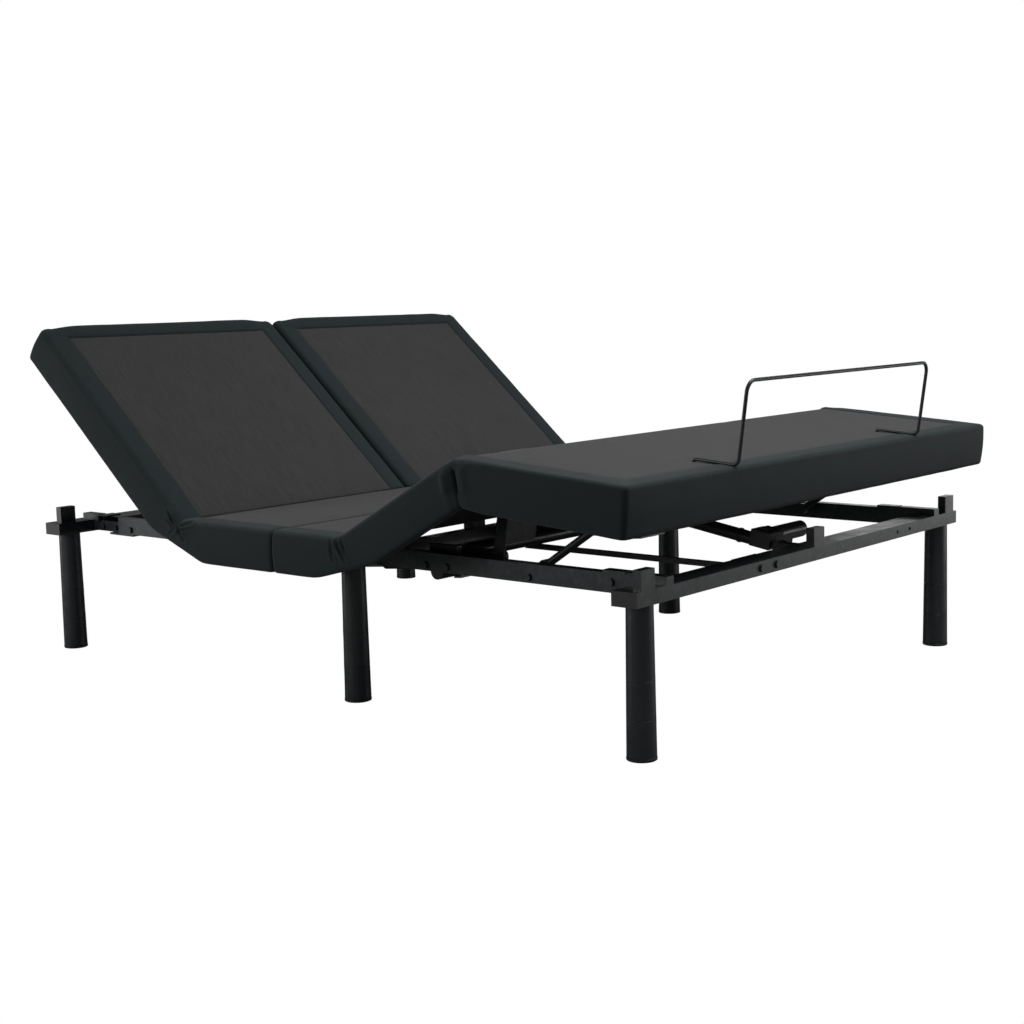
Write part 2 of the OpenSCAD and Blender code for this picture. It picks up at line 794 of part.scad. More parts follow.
module thigh_hinges() {
    color(zinc) thigh_place() for (x = wide_hinge_x) {
        hinge_leaf(x, false);
        at_knee() {
            hinge_leaf(x, true);
            hinge_pin(x);
        }
    }
}

module bar_holes() {
    both_sides() translate([bar_x, bar_out - bar_foot, -board_t - cut])
        cylinder(h = board_t + cover_t + 2 * cut, d = bar_d + 2 * bar_hole_play);
}

module foot_board() {
    color(wood) foot_place() difference() {
        deck_board(seat_x, [foot_y[0], foot_y[1] - cover_t], corner_r - cover_t);
        knee_cut();
        leaf_pockets(wide_hinge_x);
        bar_holes();
    }
}

module foot_sides() {
    color(wood) foot_place() difference() {
        deck_sides(seat_x, [foot_y[0], foot_y[1] - cover_t], corner_r - cover_t, full_drops, true);
        knee_cut();
    }
}

module foot_cover() {
    color(fabric) foot_place() difference() {
        deck_cover(seat_x, foot_y, corner_r, full_drops, true);
        knee_cut();
        bar_holes();
    }
}

module foot_hinges() {
    color(zinc) foot_place() for (x = wide_hinge_x) hinge_leaf(x, false);
}

// Depth of the risen hem at the distance y from the hinge line
function hem_depth(y, start, angle) = side_drop - (start - y) * tan(angle / 2);

// Point of the moving section, seen along X: y along it, z across it
function turned(y, z, angle) = [y * cos(angle) - z * sin(angle), y * sin(angle) + z * cos(angle)];

// Fabric that closes the wedge between two side skirts.
// angle: how far the moving section has turned away from the seat
module gusset(start, angle, gap) {
    end = hinge_gap - run_fit;
    translate([-deck_w / 2, 0, 0]) rotate([90, 0, 90])
        linear_extrude(height = cover_t + side_t) polygon([
            [-hinge_gap, -gap], [-hinge_gap, -hem_depth(hinge_gap, start, angle)],
            turned(end, -hem_depth(end, start, angle), angle), turned(end, -gap, angle)
        ]);
}

module back_gussets() {
    color(fabric) seat_place() translate([0, back_hinge_y, 0]) both_sides()
        gusset(back_hem_start, back_angle, 2 * hinge_gap);
}

module thigh_gussets() {
    color(fabric) seat_place() translate([0, thigh_hinge_y, 0]) mirror([0, 1, 0])
        both_sides() gusset(thigh_hem_start, thigh_angle, 2 * hinge_gap);
}

// ---- legs ----

module at_legs() {
    base() both_sides() {
        translate([leg_x, 0, 0]) children();
        translate([leg_x, frame_l, 0]) children();
        translate([mid_leg_x, mid_leg_y, 0]) children();
    }
}

function leg_r(z) = leg_top_d / 2 + (leg_bottom_d - leg_top_d) / 2 * (leg_h - z) / (leg_h - glide_h);

module leg_segment(z0, z1, bore_from) {
    rotate_extrude() polygon([
        [0, z0], [leg_r(z0) - leg_edge, z0], [leg_r(z0), z0 + leg_edge], [leg_r(z1), z1 - leg_edge],
        [leg_r(z1) - leg_edge, z1], [(stud_d + run_fit) / 2, z1],
        [(stud_d + run_fit) / 2, bore_from], [0, bore_from]
    ]);
}

module leg_lower_segments() {
    top = leg_h - leg_long_l - leg_short_l;
    color(steel_black) at_legs() leg_segment(glide_h, top, top - stud_in_leg);
}

module leg_middle_segments() {
    low = leg_h - leg_long_l - leg_short_l;
    color(steel_black) at_legs() difference() {
        leg_segment(low, low + leg_short_l, low + leg_short_l - stud_in_leg);
        translate([0, 0, low - cut]) cylinder(h = stud_in_leg / 2 + cut, d = stud_d + run_fit);
    }
}

module leg_upper_segments() {
    low = leg_h - leg_long_l;
    color(steel_black) at_legs() difference() {
        leg_segment(low, leg_h, leg_h - stud_in_leg);
        translate([0, 0, low - cut]) cylinder(h = stud_in_leg / 2 + cut, d = stud_d + run_fit);
    }
}

module leg_glides() {
    color(plastic) at_legs() rotate_extrude() polygon([
        [0, 0], [leg_bottom_d / 2 - glide_lip, 0], [leg_bottom_d / 2 + glide_lip, 2 * glide_lip],
        [leg_bottom_d / 2 + glide_lip, glide_h - glide_lip], [leg_bottom_d / 2, glide_h], [0, glide_h]
    ]);
}

// ---- frame ----

module crossbar() {
    half = crossbar_l / 2 - cap_t;
    difference() {
        tube_along_x([-half, half], [cross_front, cross_back], [leg_h, cross_top]);
        both_sides() translate([leg_x, 0, leg_h - cut])
            cylinder(h = tube_wall + 2 * cut, d = stud_d + run_fit);
    }
}

// Pairs of holes or bolts through a wall that faces along Y
module pair_y(x, y, z, l, d) {
    for (side = [-1, 1]) translate([x + side * hole_pitch / 2, y, z]) rotate([-90, 0, 0])
        cylinder(h = l, d = d);
}

module foot_crossbar() {
    color(steel_black) base() difference() {
        crossbar();
        pair_y(open_hole_x, cross_front - cut, bolt_z, tube_wall + 2 * cut, open_hole_d);
    }
}

module head_crossbar() {
    color(steel_black) base() translate([0, frame_l, 0]) difference() {
        crossbar();
        both_sides() pair_y(headboard_x, cross_back - tube_wall - cut, bolt_z, tube_wall + 2 * cut,
            open_hole_d);
    }
}

module crossbar_end_caps() {
    plug = tube_wall + run_fit;
    color(plastic) base() for (y = [0, frame_l]) both_sides() {
        block([crossbar_l / 2 - cap_t, crossbar_l / 2], [y + cross_front, y + cross_back],
            [leg_h, cross_top]);
        block([crossbar_l / 2 - 3 * cap_t, crossbar_l / 2 - cap_t],
            [y + cross_front + plug, y + cross_back - plug], [leg_h + plug, cross_top - plug]);
    }
}

module deck_posts() {
    front = cross_front + rest_gap;
    color(steel_black) base() {
        for (x = [-post_x, 0, post_x])
            block([x - post_w / 2, x + post_w / 2], [front, front + post_t],
                [cross_top, board_z - rest_gap]);
        for (x = [-post_x, post_x])
            block([x - post_w / 2, x + post_w / 2],
                [head_front + head_post_setback, head_front + head_post_setback + post_t],
                [cross_top, board_z - rest_gap]);
    }
}

module front_rails() {
    color(steel_black) base() both_sides() difference() {
        tube_along_y([rail_in_x, rail_out_x], [cross_back, half_y - half_gap / 2],
            [rail_bottom, rail_top]);
        block([rail_in_x - cut, rail_out_x + cut], [cross_back - cut, cross_back + lap_reach],
            [cross_top, rail_top + cut]);
    }
}

module rear_rails() {
    color(steel_black) base() both_sides()
        tube_along_y([rail_in_x, rail_out_x], [half_y + half_gap / 2, rail_end_y],
            [rail_bottom, rail_top]);
}

module rail_lap_stubs() {
    color(steel_black) base() both_sides() {
        block([rail_in_x, rail_out_x], [cross_front, cross_back + lap_reach],
            [cross_top, cross_top + lap_h]);
        block([rail_in_x, rail_out_x], [head_front - lap_reach, head_back - lap_setback],
            [cross_top, cross_top + lap_h]);
    }
}

// Plates that join the rail halves on their inner faces
module rail_splice_plates() {
    color(steel_black) base() both_sides() difference() {
        block([rail_in_x - plate_t, rail_in_x], [half_y - splice_l / 2, half_y + splice_l / 2],
            [rail_bottom + splice_inset, rail_top - splice_inset]);
        for (side = [-1, 1]) rod_x([rail_in_x - plate_t - cut, rail_in_x + cut],
            half_y + side * splice_l / 4, bolt_z, pivot_d + run_fit);
    }
}

module rail_plates() {
    leg_edge_x = mid_leg_x + leg_top_d / 2;
    strap_y = [cross_back + strap_start, cross_back + strap_start + strap_l];
    color(steel_black) base() both_sides() {
        // plate over each middle leg
        difference() {
            block([rail_in_x, leg_edge_x], [mid_leg_y - leg_top_d / 2, mid_leg_y + leg_top_d / 2],
                [leg_h, rail_bottom]);
            translate([mid_leg_x, mid_leg_y, leg_h - cut])
                cylinder(h = mid_plate_t + 2 * cut, d = stud_d + run_fit);
        }
        // strap over each front rail
        block([rail_in_x, rail_out_x], strap_y, [rail_top, rail_top + plate_t]);
        // recessed plate, flange and strap at each rear rail end
        block([side_plate_x - plate_t, side_plate_x], [rail_end_y, head_front],
            [rail_bottom, cross_top]);
        block([rail_in_x, rail_out_x],
            [rail_end_y + flange_past - flange_l, rail_end_y + flange_past],
            [rail_bottom - plate_t, rail_bottom]);
        block([rail_out_x - plate_t - head_strap_in, rail_out_x],
            [head_tube_y + head_tube_w - head_strap_l, head_tube_y + head_tube_w],
            [rail_top, rail_top + strap_t]);
    }
}

module head_cross_tube() {
    half = side_plate_x - plate_t;
    color(steel_black) base() tube_along_x([-half, half], [head_tube_y, head_tube_y + head_tube_w],
        [rail_top - head_tube_h, rail_top]);
}

module inner_cross_tubes() {
    color(steel_black) base() for (y = [front_tube_y, mid_leg_y])
        tube_along_x([-rail_in_x, rail_in_x], [y - inner_tube / 2, y + inner_tube / 2],
            [inner_tube_z, inner_tube_z + inner_tube]);
}

module foot_brace() {
    brace_z = [leg_h + brace_rise, leg_h + brace_rise + brace_size];
    half_plate = hole_pitch / 2 + bolt_head_d;
    color(steel_black) base() {
        block([bolt_pair_x - brace_size / 2, bolt_pair_x + brace_size / 2],
            [cross_back + brace_plate_t, front_tube_y - inner_tube / 2], brace_z);
        block([bolt_pair_x - half_plate, bolt_pair_x + half_plate],
            [cross_back, cross_back + brace_plate_t], [leg_h + brace_rise, cross_top]);
    }
}

module bolt_out(y, x = rail_out_x, z = bolt_z) {
    rod_x([x, x + bolt_head_h], y, z, bolt_head_d);
}

module frame_fasteners() {
    color(steel_black) base() {
        pair_y(bolt_pair_x, cross_front - bolt_head_h, bolt_z, bolt_head_h, bolt_head_d);
        both_sides() {
            for (side = [-1, 1]) bolt_out(knee_lift_y + side * bolt_at);
            for (side = [-1, 1]) bolt_out(back_lift_y + side * bolt_at);
            bolt_out(strut_low_y);
            bolt_out(cross_back + strap_start + strap_l / 2 + bolt_head_d / 2, rail_out_x,
                rail_bottom + strap_bolt_rise);
            bolt_out(rail_end_y - flange_l / 2);
            for (side = [-1, 1]) rod_x([rail_in_x - plate_t - bolt_head_h, rail_in_x],
                half_y + side * splice_l / 4, bolt_z, pivot_d);
            for (y = [head_tube_y + bolt_head_d, head_tube_y + head_tube_w - bolt_head_h])
                bolt_out(y, side_plate_x);
        }
    }
    color(steel_black) at_legs() {
        translate([0, 0, leg_h - stud_in_leg]) cylinder(h = 1.5 * stud_in_leg, d = stud_d);
        for (joint_z = [leg_h - leg_long_l, leg_h - leg_long_l - leg_short_l])
            translate([0, 0, joint_z - stud_in_leg]) cylinder(h = 1.5 * stud_in_leg, d = stud_d);
    }
}

module seat_supports() {
    color(plastic) base() both_sides() {
        for (y = support_y) block([rail_in_x, rail_out_x], [y, y + support_l], [rail_top, board_z]);
        block([inner_support_x, inner_support_x + support_l],
            [mid_leg_y - inner_tube / 2, mid_leg_y + inner_tube / 2],
            [inner_tube_z + inner_tube, board_z]);
    }
}

module control_box() {
    back = mid_leg_y - inner_tube / 2;
    low = inner_tube_z + (inner_tube - box_h) / 2;
    color(plastic) base() difference() {
        block([-box_l / 2, box_l / 2], [back - box_w, back], [low, low + box_h]);
        for (x = [-box_l / 2, box_l / 2]) for (z = [low, low + box_h])
            translate([x, back - box_w - cut, z]) rotate([0, 45, 0])
                translate([-box_edge / 2, 0, -box_edge / 2]) cube([box_edge, box_w + 2 * cut, box_edge]);
    }
}

module power_inlet() {
    back = mid_leg_y - inner_tube / 2 - box_w / 2;
    mid_z = inner_tube_z + inner_tube / 2;
    color(plastic) base() difference() {
        block([-box_l / 2 - inlet_out, -box_l / 2], [back - inlet_w / 2, back + inlet_w / 2],
            [mid_z - inlet_h / 2, mid_z + inlet_h / 2]);
        block([-box_l / 2 - inlet_out - cut, -box_l / 2 - inlet_out / 3],
            [back - inlet_w / 2 + tube_wall, back + inlet_w / 2 - tube_wall],
            [mid_z - inlet_h / 2 + tube_wall, mid_z + inlet_h / 2 - tube_wall]);
    }
}

// ---- bearings and clevises fixed to the frame ----

module bearing(x, y, half, z, d, at_z) {
    difference() {
        block(x, [y - half, y + half], z);
        rod_x([x[0] - cut, x[1] + cut], y, at_z, d + 2 * run_fit);
    }
}

module lift_bearings() {
    rail_x = [rail_in_x - bearing_t, rail_in_x];
    color(steel_black) base() both_sides() {
        bearing(rail_x, knee_lift_y, bearing_half, [inner_tube_z, rail_top + plate_t + run_fit + bearing_rise],
            knee_tube_d, knee_lift_z);
        bearing(rail_x, back_lift_y, bearing_half, [inner_tube_z, rail_top], lift_tube_d, back_lift_z);
        bearing([inner_bearing_x, inner_bearing_x + bearing_t], back_lift_y, inner_bearing_half,
            [back_lift_z - inner_bearing_half, board_z], lift_tube_d, back_lift_z);
        rod_x([strut_x + strut_eye_w / 2 + run_fit, rail_in_x], strut_low_y, strut_low_z, strut_boss_d);
        rod_x([strut_x - strut_eye_w / 2 - 2 * run_fit, rail_in_x], strut_low_y, strut_low_z, pivot_d);
    }
}

module clevis_plates(mount_y, mount_z) {
    both_sides() difference() {
        union() {
            block([fork_in, fork_in + clevis_t], mount_y, mount_z);
            rod_x([fork_in, fork_in + clevis_t], 0, 0, rear_eye_d);
        }
        rod_x([fork_in - cut, fork_in + clevis_t + cut], 0, 0, act_pin_d);
    }
    rod_x([-fork_in - clevis_t - run_fit, fork_in + clevis_t + run_fit], 0, 0, act_pin_d);
}

module actuator_clevises() {
    color(steel_black) base() {
        translate([0, foot_act_y, foot_act_z])
            clevis_plates([cross_back - foot_act_y, 0], [-rear_eye_d / 2, cross_top - foot_act_z]);
        both_sides() translate([back_lift_x, head_act_y, head_act_z])
            clevis_plates([-rear_eye_d / 2, rear_eye_d / 2], [0, inner_tube_z - head_act_z]);
    }
}

// ---- actuators, along +Y from the rear pivot ----

// rise: height of the motor above the actuator's line
module actuator(rise) {
    gear_z = rise - gear_drop;
    seat_end = gear_w / 2 + motor_seat_l;
    difference() {
        union() {
            rod_x([-eye_t / 2, eye_t / 2], 0, 0, rear_eye_d);
            block([-eye_t / 2, eye_t / 2], [0, gear_start], [-eye_t / 2, eye_t / 2]);
            block([-gear_w / 2, gear_w / 2], [gear_start, gear_end],
                [gear_z - gear_h / 2, gear_z + gear_h / 2]);
            rod_x([hump_d / 2 - gear_w / 2, gear_w / 2 - motor_seat_edge], gear_start + hump_at,
                rise + hump_rise, hump_d);
            block([gear_w / 2, seat_end], [gear_start + motor_seat_edge, gear_end - motor_seat_edge],
                [gear_z - gear_h / 2 + motor_seat_edge, gear_z + gear_h / 2 - motor_seat_edge]);
            rod_x([gear_w / 2, seat_end + motor_l], gear_start + gear_l / 2, rise, motor_d);
            block([gear_w / 2, seat_end + switch_l],
                [gear_start + switch_at, gear_start + switch_at + switch_w],
                [rise - switch_h, rise]);
            translate([0, gear_end, 0]) rotate([-90, 0, 0]) cylinder(h = act_tube_l, d = act_tube_d);
            translate([0, gear_end + collar_at, 0]) rotate([-90, 0, 0])
                cylinder(h = collar_w, d = collar_d);
        }
        rod_x([-eye_t, eye_t], 0, 0, act_pin_d + 2 * run_fit);
        translate([0, gear_end - cut, 0]) rotate([-90, 0, 0])
            cylinder(h = act_tube_l + 2 * cut, d = act_rod_d + 2 * run_fit);
    }
}

module actuator_rod(len) {
    start = gear_end + act_tube_l - rod_inside;
    difference() {
        union() {
            translate([0, start, 0]) rotate([-90, 0, 0])
                cylinder(h = len - rod_eye_d / 2 + rod_eye_wall / 2 - start, d = act_rod_d);
            rod_x([-eye_t / 2, eye_t / 2], len, 0, rod_eye_d);
        }
        rod_x([-eye_t, eye_t], len, 0, act_pin_d + 2 * eye_play);
    }
}

module foot_actuator_place() {
    base() translate([0, foot_act_y, foot_act_z]) rotate([foot_act_angle, 0, 0]) children();
}

module head_actuator_place() {
    base() translate([back_lift_x, head_act_y, head_act_z]) rotate([head_act_angle, 0, 0]) children();
}

module foot_actuator() { color(grey_tube) foot_actuator_place() actuator(motor_rise); }
module foot_rod() { color(zinc) foot_actuator_place() actuator_rod(foot_act_l); }
module head_actuator_right() { color(grey_tube) head_actuator_place() actuator(0); }
module head_actuator_left() { mirror([1, 0, 0]) head_actuator_right(); }
module head_rod_right() { color(zinc) head_actuator_place() actuator_rod(head_act_l); }
module head_rod_left() { mirror([1, 0, 0]) head_rod_right(); }

// ---- lifts ----

module lever_fork(l) {
    both_sides() flat_bar([fork_in, fork_in + arm_t], l, arm_h, arm_hub_d, arm_hub_d);
    rod_x([-fork_in, fork_in], l, 0, act_pin_d);
}

module lift_tube(x, d) {
    difference() {
        rod_x(x, 0, 0, d);
        rod_x([x[0] - cut, x[1] + cut], 0, 0, d - 2 * tube_wall);
    }
}

module back_lift_place() { base() translate([0, back_lift_y, back_lift_z]) children(); }

disc_y = back_arm_l * cos(back_arm_angle);
disc_z = back_arm_l * sin(back_arm_angle);
elbow_y = elbow_at * cos(elbow_angle);
elbow_z = elbow_at * sin(elbow_angle);

module cranked_arm(x) {
    far_l = norm([disc_y - elbow_y, disc_z - elbow_z]);
    boss = [x[0] - boss_proud, x[1] + boss_proud];
    for (c = [[0, 0], [elbow_y, elbow_z], [disc_y, disc_z]]) rod_x(boss, c[0], c[1], arm_hub_d);
    rotate([elbow_angle, 0, 0]) block(x, [0, elbow_at], [-arm_h / 2, arm_h / 2]);
    translate([0, elbow_y, elbow_z]) rotate([atan2(disc_z - elbow_z, disc_y - elbow_y), 0, 0])
        block(x, [0, far_l], [-arm_h / 2, arm_h / 2]);
}

module back_arms() {
    for (side = [-1, 1]) {
        mid = back_lift_x + side * back_arm_spread / 2;
        cranked_arm([mid - arm_t / 2, mid + arm_t / 2]);
    }
}

module back_lift_right() {
    color(steel_black) back_lift_place() difference() {
        union() {
            rod_x([inner_bearing_x + bearing_t / 2, rail_in_x - bearing_t / 2], 0, 0, lift_tube_d);
            back_arms();
            translate([back_lift_x, 0, 0]) rotate([back_lever_angle, 0, 0]) lever_fork(back_lever_l);
        }
        rod_x([0, rail_in_x], 0, 0, lift_tube_d - 2 * tube_wall);
    }
}

module back_lift_left() { mirror([1, 0, 0]) back_lift_right(); }

module lift_discs_right() {
    color(nylon) back_lift_place() for (side = [-1, 1]) {
        face = back_lift_x + side * (back_arm_spread / 2 + arm_t / 2 + boss_proud);
        far_face = face + side * glide_disc_w;
        rod_x([min(face, far_face), max(face, far_face)], disc_y, disc_z, glide_disc_d);
    }
}

module lift_discs_left() { mirror([1, 0, 0]) lift_discs_right(); }

module knee_lift() {
    color(steel_black) base() translate([0, knee_lift_y, knee_lift_z]) difference() {
        union() {
            rod_x([-rail_in_x + bearing_t / 2, rail_in_x - bearing_t / 2], 0, 0, knee_tube_d);
            both_sides() {
                rotate([knee_arm_angle, 0, 0])
                    flat_bar([link_x - arm_t / 2, link_x + arm_t / 2], knee_arm_l, arm_h, arm_h, arm_h);
                translate([0, link_low_y - knee_lift_y, link_low_z - knee_lift_z])
                    rod_x([link_x - arm_t / 2, link_out_x + link_t + pivot_d], 0, 0, pivot_d);
            }
            rotate([knee_lever_angle, 0, 0]) lever_fork(knee_lever_l);
        }
        rod_x([-rail_in_x, rail_in_x], 0, 0, knee_tube_d - 2 * tube_wall);
    }
}

// Folded link: a side plate, a web that faces the foot end, and an inner plate
module lift_links() {
    web_in_x = link_out_x + link_t - link_web;
    web_y = [-link_w / 2, -link_w / 2 + link_t];
    color(steel_black) base() both_sides() translate([0, link_top_y, link_top_z])
        rotate([link_angle, 0, 0]) difference() {
            union() {
                flat_bar([link_out_x, link_out_x + link_t], link_l, link_w, link_w, link_w);
                flat_bar([web_in_x, web_in_x + link_t], link_l / 2, link_w, link_w, link_w);
                block([web_in_x, link_out_x + link_t], [-link_w / 4, link_l - link_w], web_y);
            }
            for (x = [web_in_x, link_out_x])
                rod_x([x - cut, x + link_t + cut], 0, 0, pivot_d + 2 * run_fit);
            translate([0, link_l, 0]) for (side = [-1, 1])
                rod_x([link_out_x - cut, link_out_x + link_t + cut], 0, side * link_play,
                    pivot_d + 2 * link_slack);
            block([link_out_x - cut, link_out_x + link_t + cut],
                [link_l - pivot_d / 2 - link_slack, link_l + pivot_d / 2 + link_slack],
                [-link_play, link_play]);
        }
}

module thigh_link_brackets() {
    web_in_x = link_out_x + link_t - link_web;
    color(steel_black) thigh_place() both_sides() translate([0, thigh_pin[0], thigh_pin[1]]) {
        for (x = [link_x - arm_t / 2 - run_fit - 2 * bracket_t, web_in_x + link_t + bracket_t]) {
            block([x, x + bracket_t], [-bracket_w / 2, bracket_w / 2],
                [0, -board_t - thigh_pin[1]]);
            rod_x([x, x + bracket_t], 0, 0, bracket_w);
        }
        rod_x([web_in_x - bracket_t, link_out_x + link_t + bracket_t], 0, 0, pivot_d);
    }
}

module support_struts() {
    color(steel_black) base() both_sides() translate([strut_x, strut_low_y, strut_low_z])
        rotate([strut_angle, 0, 0]) difference() {
            union() {
                translate([0, strut_eye_d / 4, 0]) rotate([-90, 0, 0])
                    cylinder(h = strut_l - strut_eye_d / 2, d = strut_d);
                for (y = [0, strut_l])
                    rod_x([-strut_eye_w / 2, strut_eye_w / 2], y, 0, strut_eye_d);
            }
            rod_x([-strut_d, strut_d], 0, 0, pivot_d + 2 * run_fit);
            rod_x([-strut_d, strut_d], strut_l, 0, pivot_d + 2 * strut_play);
        }
}

module foot_strut_brackets() {
    eye_face = strut_x - strut_eye_w / 2 - 2 * run_fit;
    color(steel_black) foot_place() both_sides() translate([0, strut_top_along, -strut_top_drop]) {
        block([eye_face - bracket_t, eye_face], [-bracket_w / 2, bracket_w / 2],
            [0, strut_top_drop - board_t]);
        rod_x([eye_face - bracket_t, eye_face], 0, 0, bracket_w);
        rod_x([eye_face - bracket_t, strut_x + strut_eye_w / 2 + run_fit], 0, 0, pivot_d);
    }
}

// ---- mattress retainer bar ----

// Straight length, a little thinner than the bends and let into them at each end
module bar_rod(l) {
    translate([0, 0, -bar_lap]) cylinder(h = l + 2 * bar_lap, d = bar_d - bar_step);
}

module bar_arc(r, angle) {
    rotate_extrude(angle = angle) translate([r, 0]) circle(d = bar_d);
}

module retainer_bar() {
    inner_y = bar_out - bar_foot;
    color(steel_black) foot_place() {
        both_sides() translate([bar_x, 0, 0]) {
            translate([0, inner_y, -board_t - bar_peg]) bar_rod(board_t + bar_peg + bar_z - bar_peg_r);
            translate([0, inner_y + bar_peg_r, bar_z - bar_peg_r]) rotate([90, 0, 90])
                rotate([0, 0, 90]) bar_arc(bar_peg_r, 90);
            translate([0, inner_y + bar_peg_r, bar_z]) rotate([-90, 0, 0])
                bar_rod(bar_bend_y - inner_y - bar_peg_r);
            translate([0, bar_bend_y, bar_z + bar_low_r]) rotate([90, 0, 90]) rotate([0, 0, -90])
                bar_arc(bar_low_r, bar_turn);
            translate([0, bar_out, bar_bend_z]) rotate([bar_turn - 90, 0, 0]) {
                bar_rod(bar_up - bar_top_r);
                translate([-bar_top_r, 0, bar_up - bar_top_r]) rotate([90, 0, 0])
                    bar_arc(bar_top_r, 90);
            }
        }
        translate([-bar_x + bar_top_r, bar_out, bar_bend_z]) rotate([bar_turn - 90, 0, 0])
            translate([0, 0, bar_up]) rotate([0, 90, 0]) bar_rod(2 * (bar_x - bar_top_r));
    }
}

foot_crossbar();
head_crossbar();
crossbar_end_caps();
deck_posts();
front_rails();
rear_rails();
rail_splice_plates();
rail_lap_stubs();
rail_plates();
head_cross_tube();
inner_cross_tubes();
leg_upper_segments();
leg_middle_segments();
leg_lower_segments();
leg_glides();
frame_fasteners();
seat_supports();
lift_bearings();
actuator_clevises();
seat_boards();
seat_sides();
seat_covers();
seat_hinge_leaves();
control_box();
power_inlet();
back_board_left();
back_sides_left();
back_cover_left();
back_hinges_left();
back_board_right();
back_sides_right();
back_cover_right();
back_hinges_right();
thigh_board();
thigh_sides();
thigh_cover();
thigh_hinges();
thigh_link_brackets();
foot_board();
foot_sides();
foot_cover();
foot_hinges();
foot_strut_brackets();
retainer_bar();
back_gussets();
thigh_gussets();
foot_brace();
back_lift_left();
back_lift_right();
lift_discs_left();
lift_discs_right();
head_actuator_left();
head_actuator_right();
head_rod_left();
head_rod_right();
knee_lift();
lift_links();
support_struts();
foot_actuator();
foot_rod();
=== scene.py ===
"""Adjustable bed base: upholstery, metal finishes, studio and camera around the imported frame."""

import json
import math

import bpy
import bmesh
import numpy as np
from mathutils import Matrix, Vector


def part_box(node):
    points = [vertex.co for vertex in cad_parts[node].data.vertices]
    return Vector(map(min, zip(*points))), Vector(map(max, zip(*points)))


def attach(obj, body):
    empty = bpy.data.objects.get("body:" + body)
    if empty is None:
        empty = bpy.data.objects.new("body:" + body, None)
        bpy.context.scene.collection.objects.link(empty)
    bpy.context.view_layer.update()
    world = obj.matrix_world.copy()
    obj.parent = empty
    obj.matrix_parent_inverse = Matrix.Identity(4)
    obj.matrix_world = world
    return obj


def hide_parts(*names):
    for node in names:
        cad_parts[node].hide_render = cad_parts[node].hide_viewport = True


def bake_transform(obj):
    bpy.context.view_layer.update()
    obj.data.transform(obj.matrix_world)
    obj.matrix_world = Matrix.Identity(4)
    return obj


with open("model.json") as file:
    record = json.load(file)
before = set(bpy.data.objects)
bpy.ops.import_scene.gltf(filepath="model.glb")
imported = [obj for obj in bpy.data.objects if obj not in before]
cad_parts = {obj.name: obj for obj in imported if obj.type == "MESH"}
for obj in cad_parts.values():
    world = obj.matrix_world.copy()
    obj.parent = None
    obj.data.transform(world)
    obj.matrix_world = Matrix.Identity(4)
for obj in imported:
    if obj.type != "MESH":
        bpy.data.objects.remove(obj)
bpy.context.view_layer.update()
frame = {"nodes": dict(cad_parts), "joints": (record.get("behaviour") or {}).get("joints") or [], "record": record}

JOINTS = {j["name"]: j for j in frame["joints"]}
NODES = frame["nodes"]
scene = bpy.context.scene


# ---------------------------------------------------------------- camera

CAMERA_AT = (-3.106, -2.694, 0.889)
CAMERA_YAW, CAMERA_PITCH, CAMERA_ROLL = 49.99, -7.33, -1.38  # degrees
CAMERA_LENS, SENSOR_WIDTH = 57.33, 36  # mm
CAMERA_SHIFT = (-0.01426, -0.0048)
CLIP_NEAR, CLIP_FAR = 0.05, 60


def make_camera():
    """The photograph's viewpoint, from the fit of one camera to the frame's straight edges."""
    yaw, pitch, roll = (math.radians(a) for a in (CAMERA_YAW, CAMERA_PITCH, CAMERA_ROLL))
    level = math.cos(pitch)
    look = Vector((level * math.sin(yaw), level * math.cos(yaw), math.sin(pitch)))
    right = look.cross(Vector((0, 0, 1))).normalized()
    up = right.cross(look)
    rolled_right = right * math.cos(roll) + up * math.sin(roll)
    rolled_up = -right * math.sin(roll) + up * math.cos(roll)
    data = bpy.data.cameras.new("camera")
    data.sensor_width = SENSOR_WIDTH
    data.lens = CAMERA_LENS
    data.shift_x, data.shift_y = CAMERA_SHIFT
    data.clip_start, data.clip_end = CLIP_NEAR, CLIP_FAR
    cam = bpy.data.objects.new("camera", data)
    rot = np.eye(4)
    rot[:3, 0] = rolled_right
    rot[:3, 1] = rolled_up
    rot[:3, 2] = -look
    rot[:3, 3] = CAMERA_AT
    cam.matrix_world = Matrix([list(row) for row in rot])
    scene.collection.objects.link(cam)
    scene.camera = cam


make_camera()


# ---------------------------------------------------------------- materials

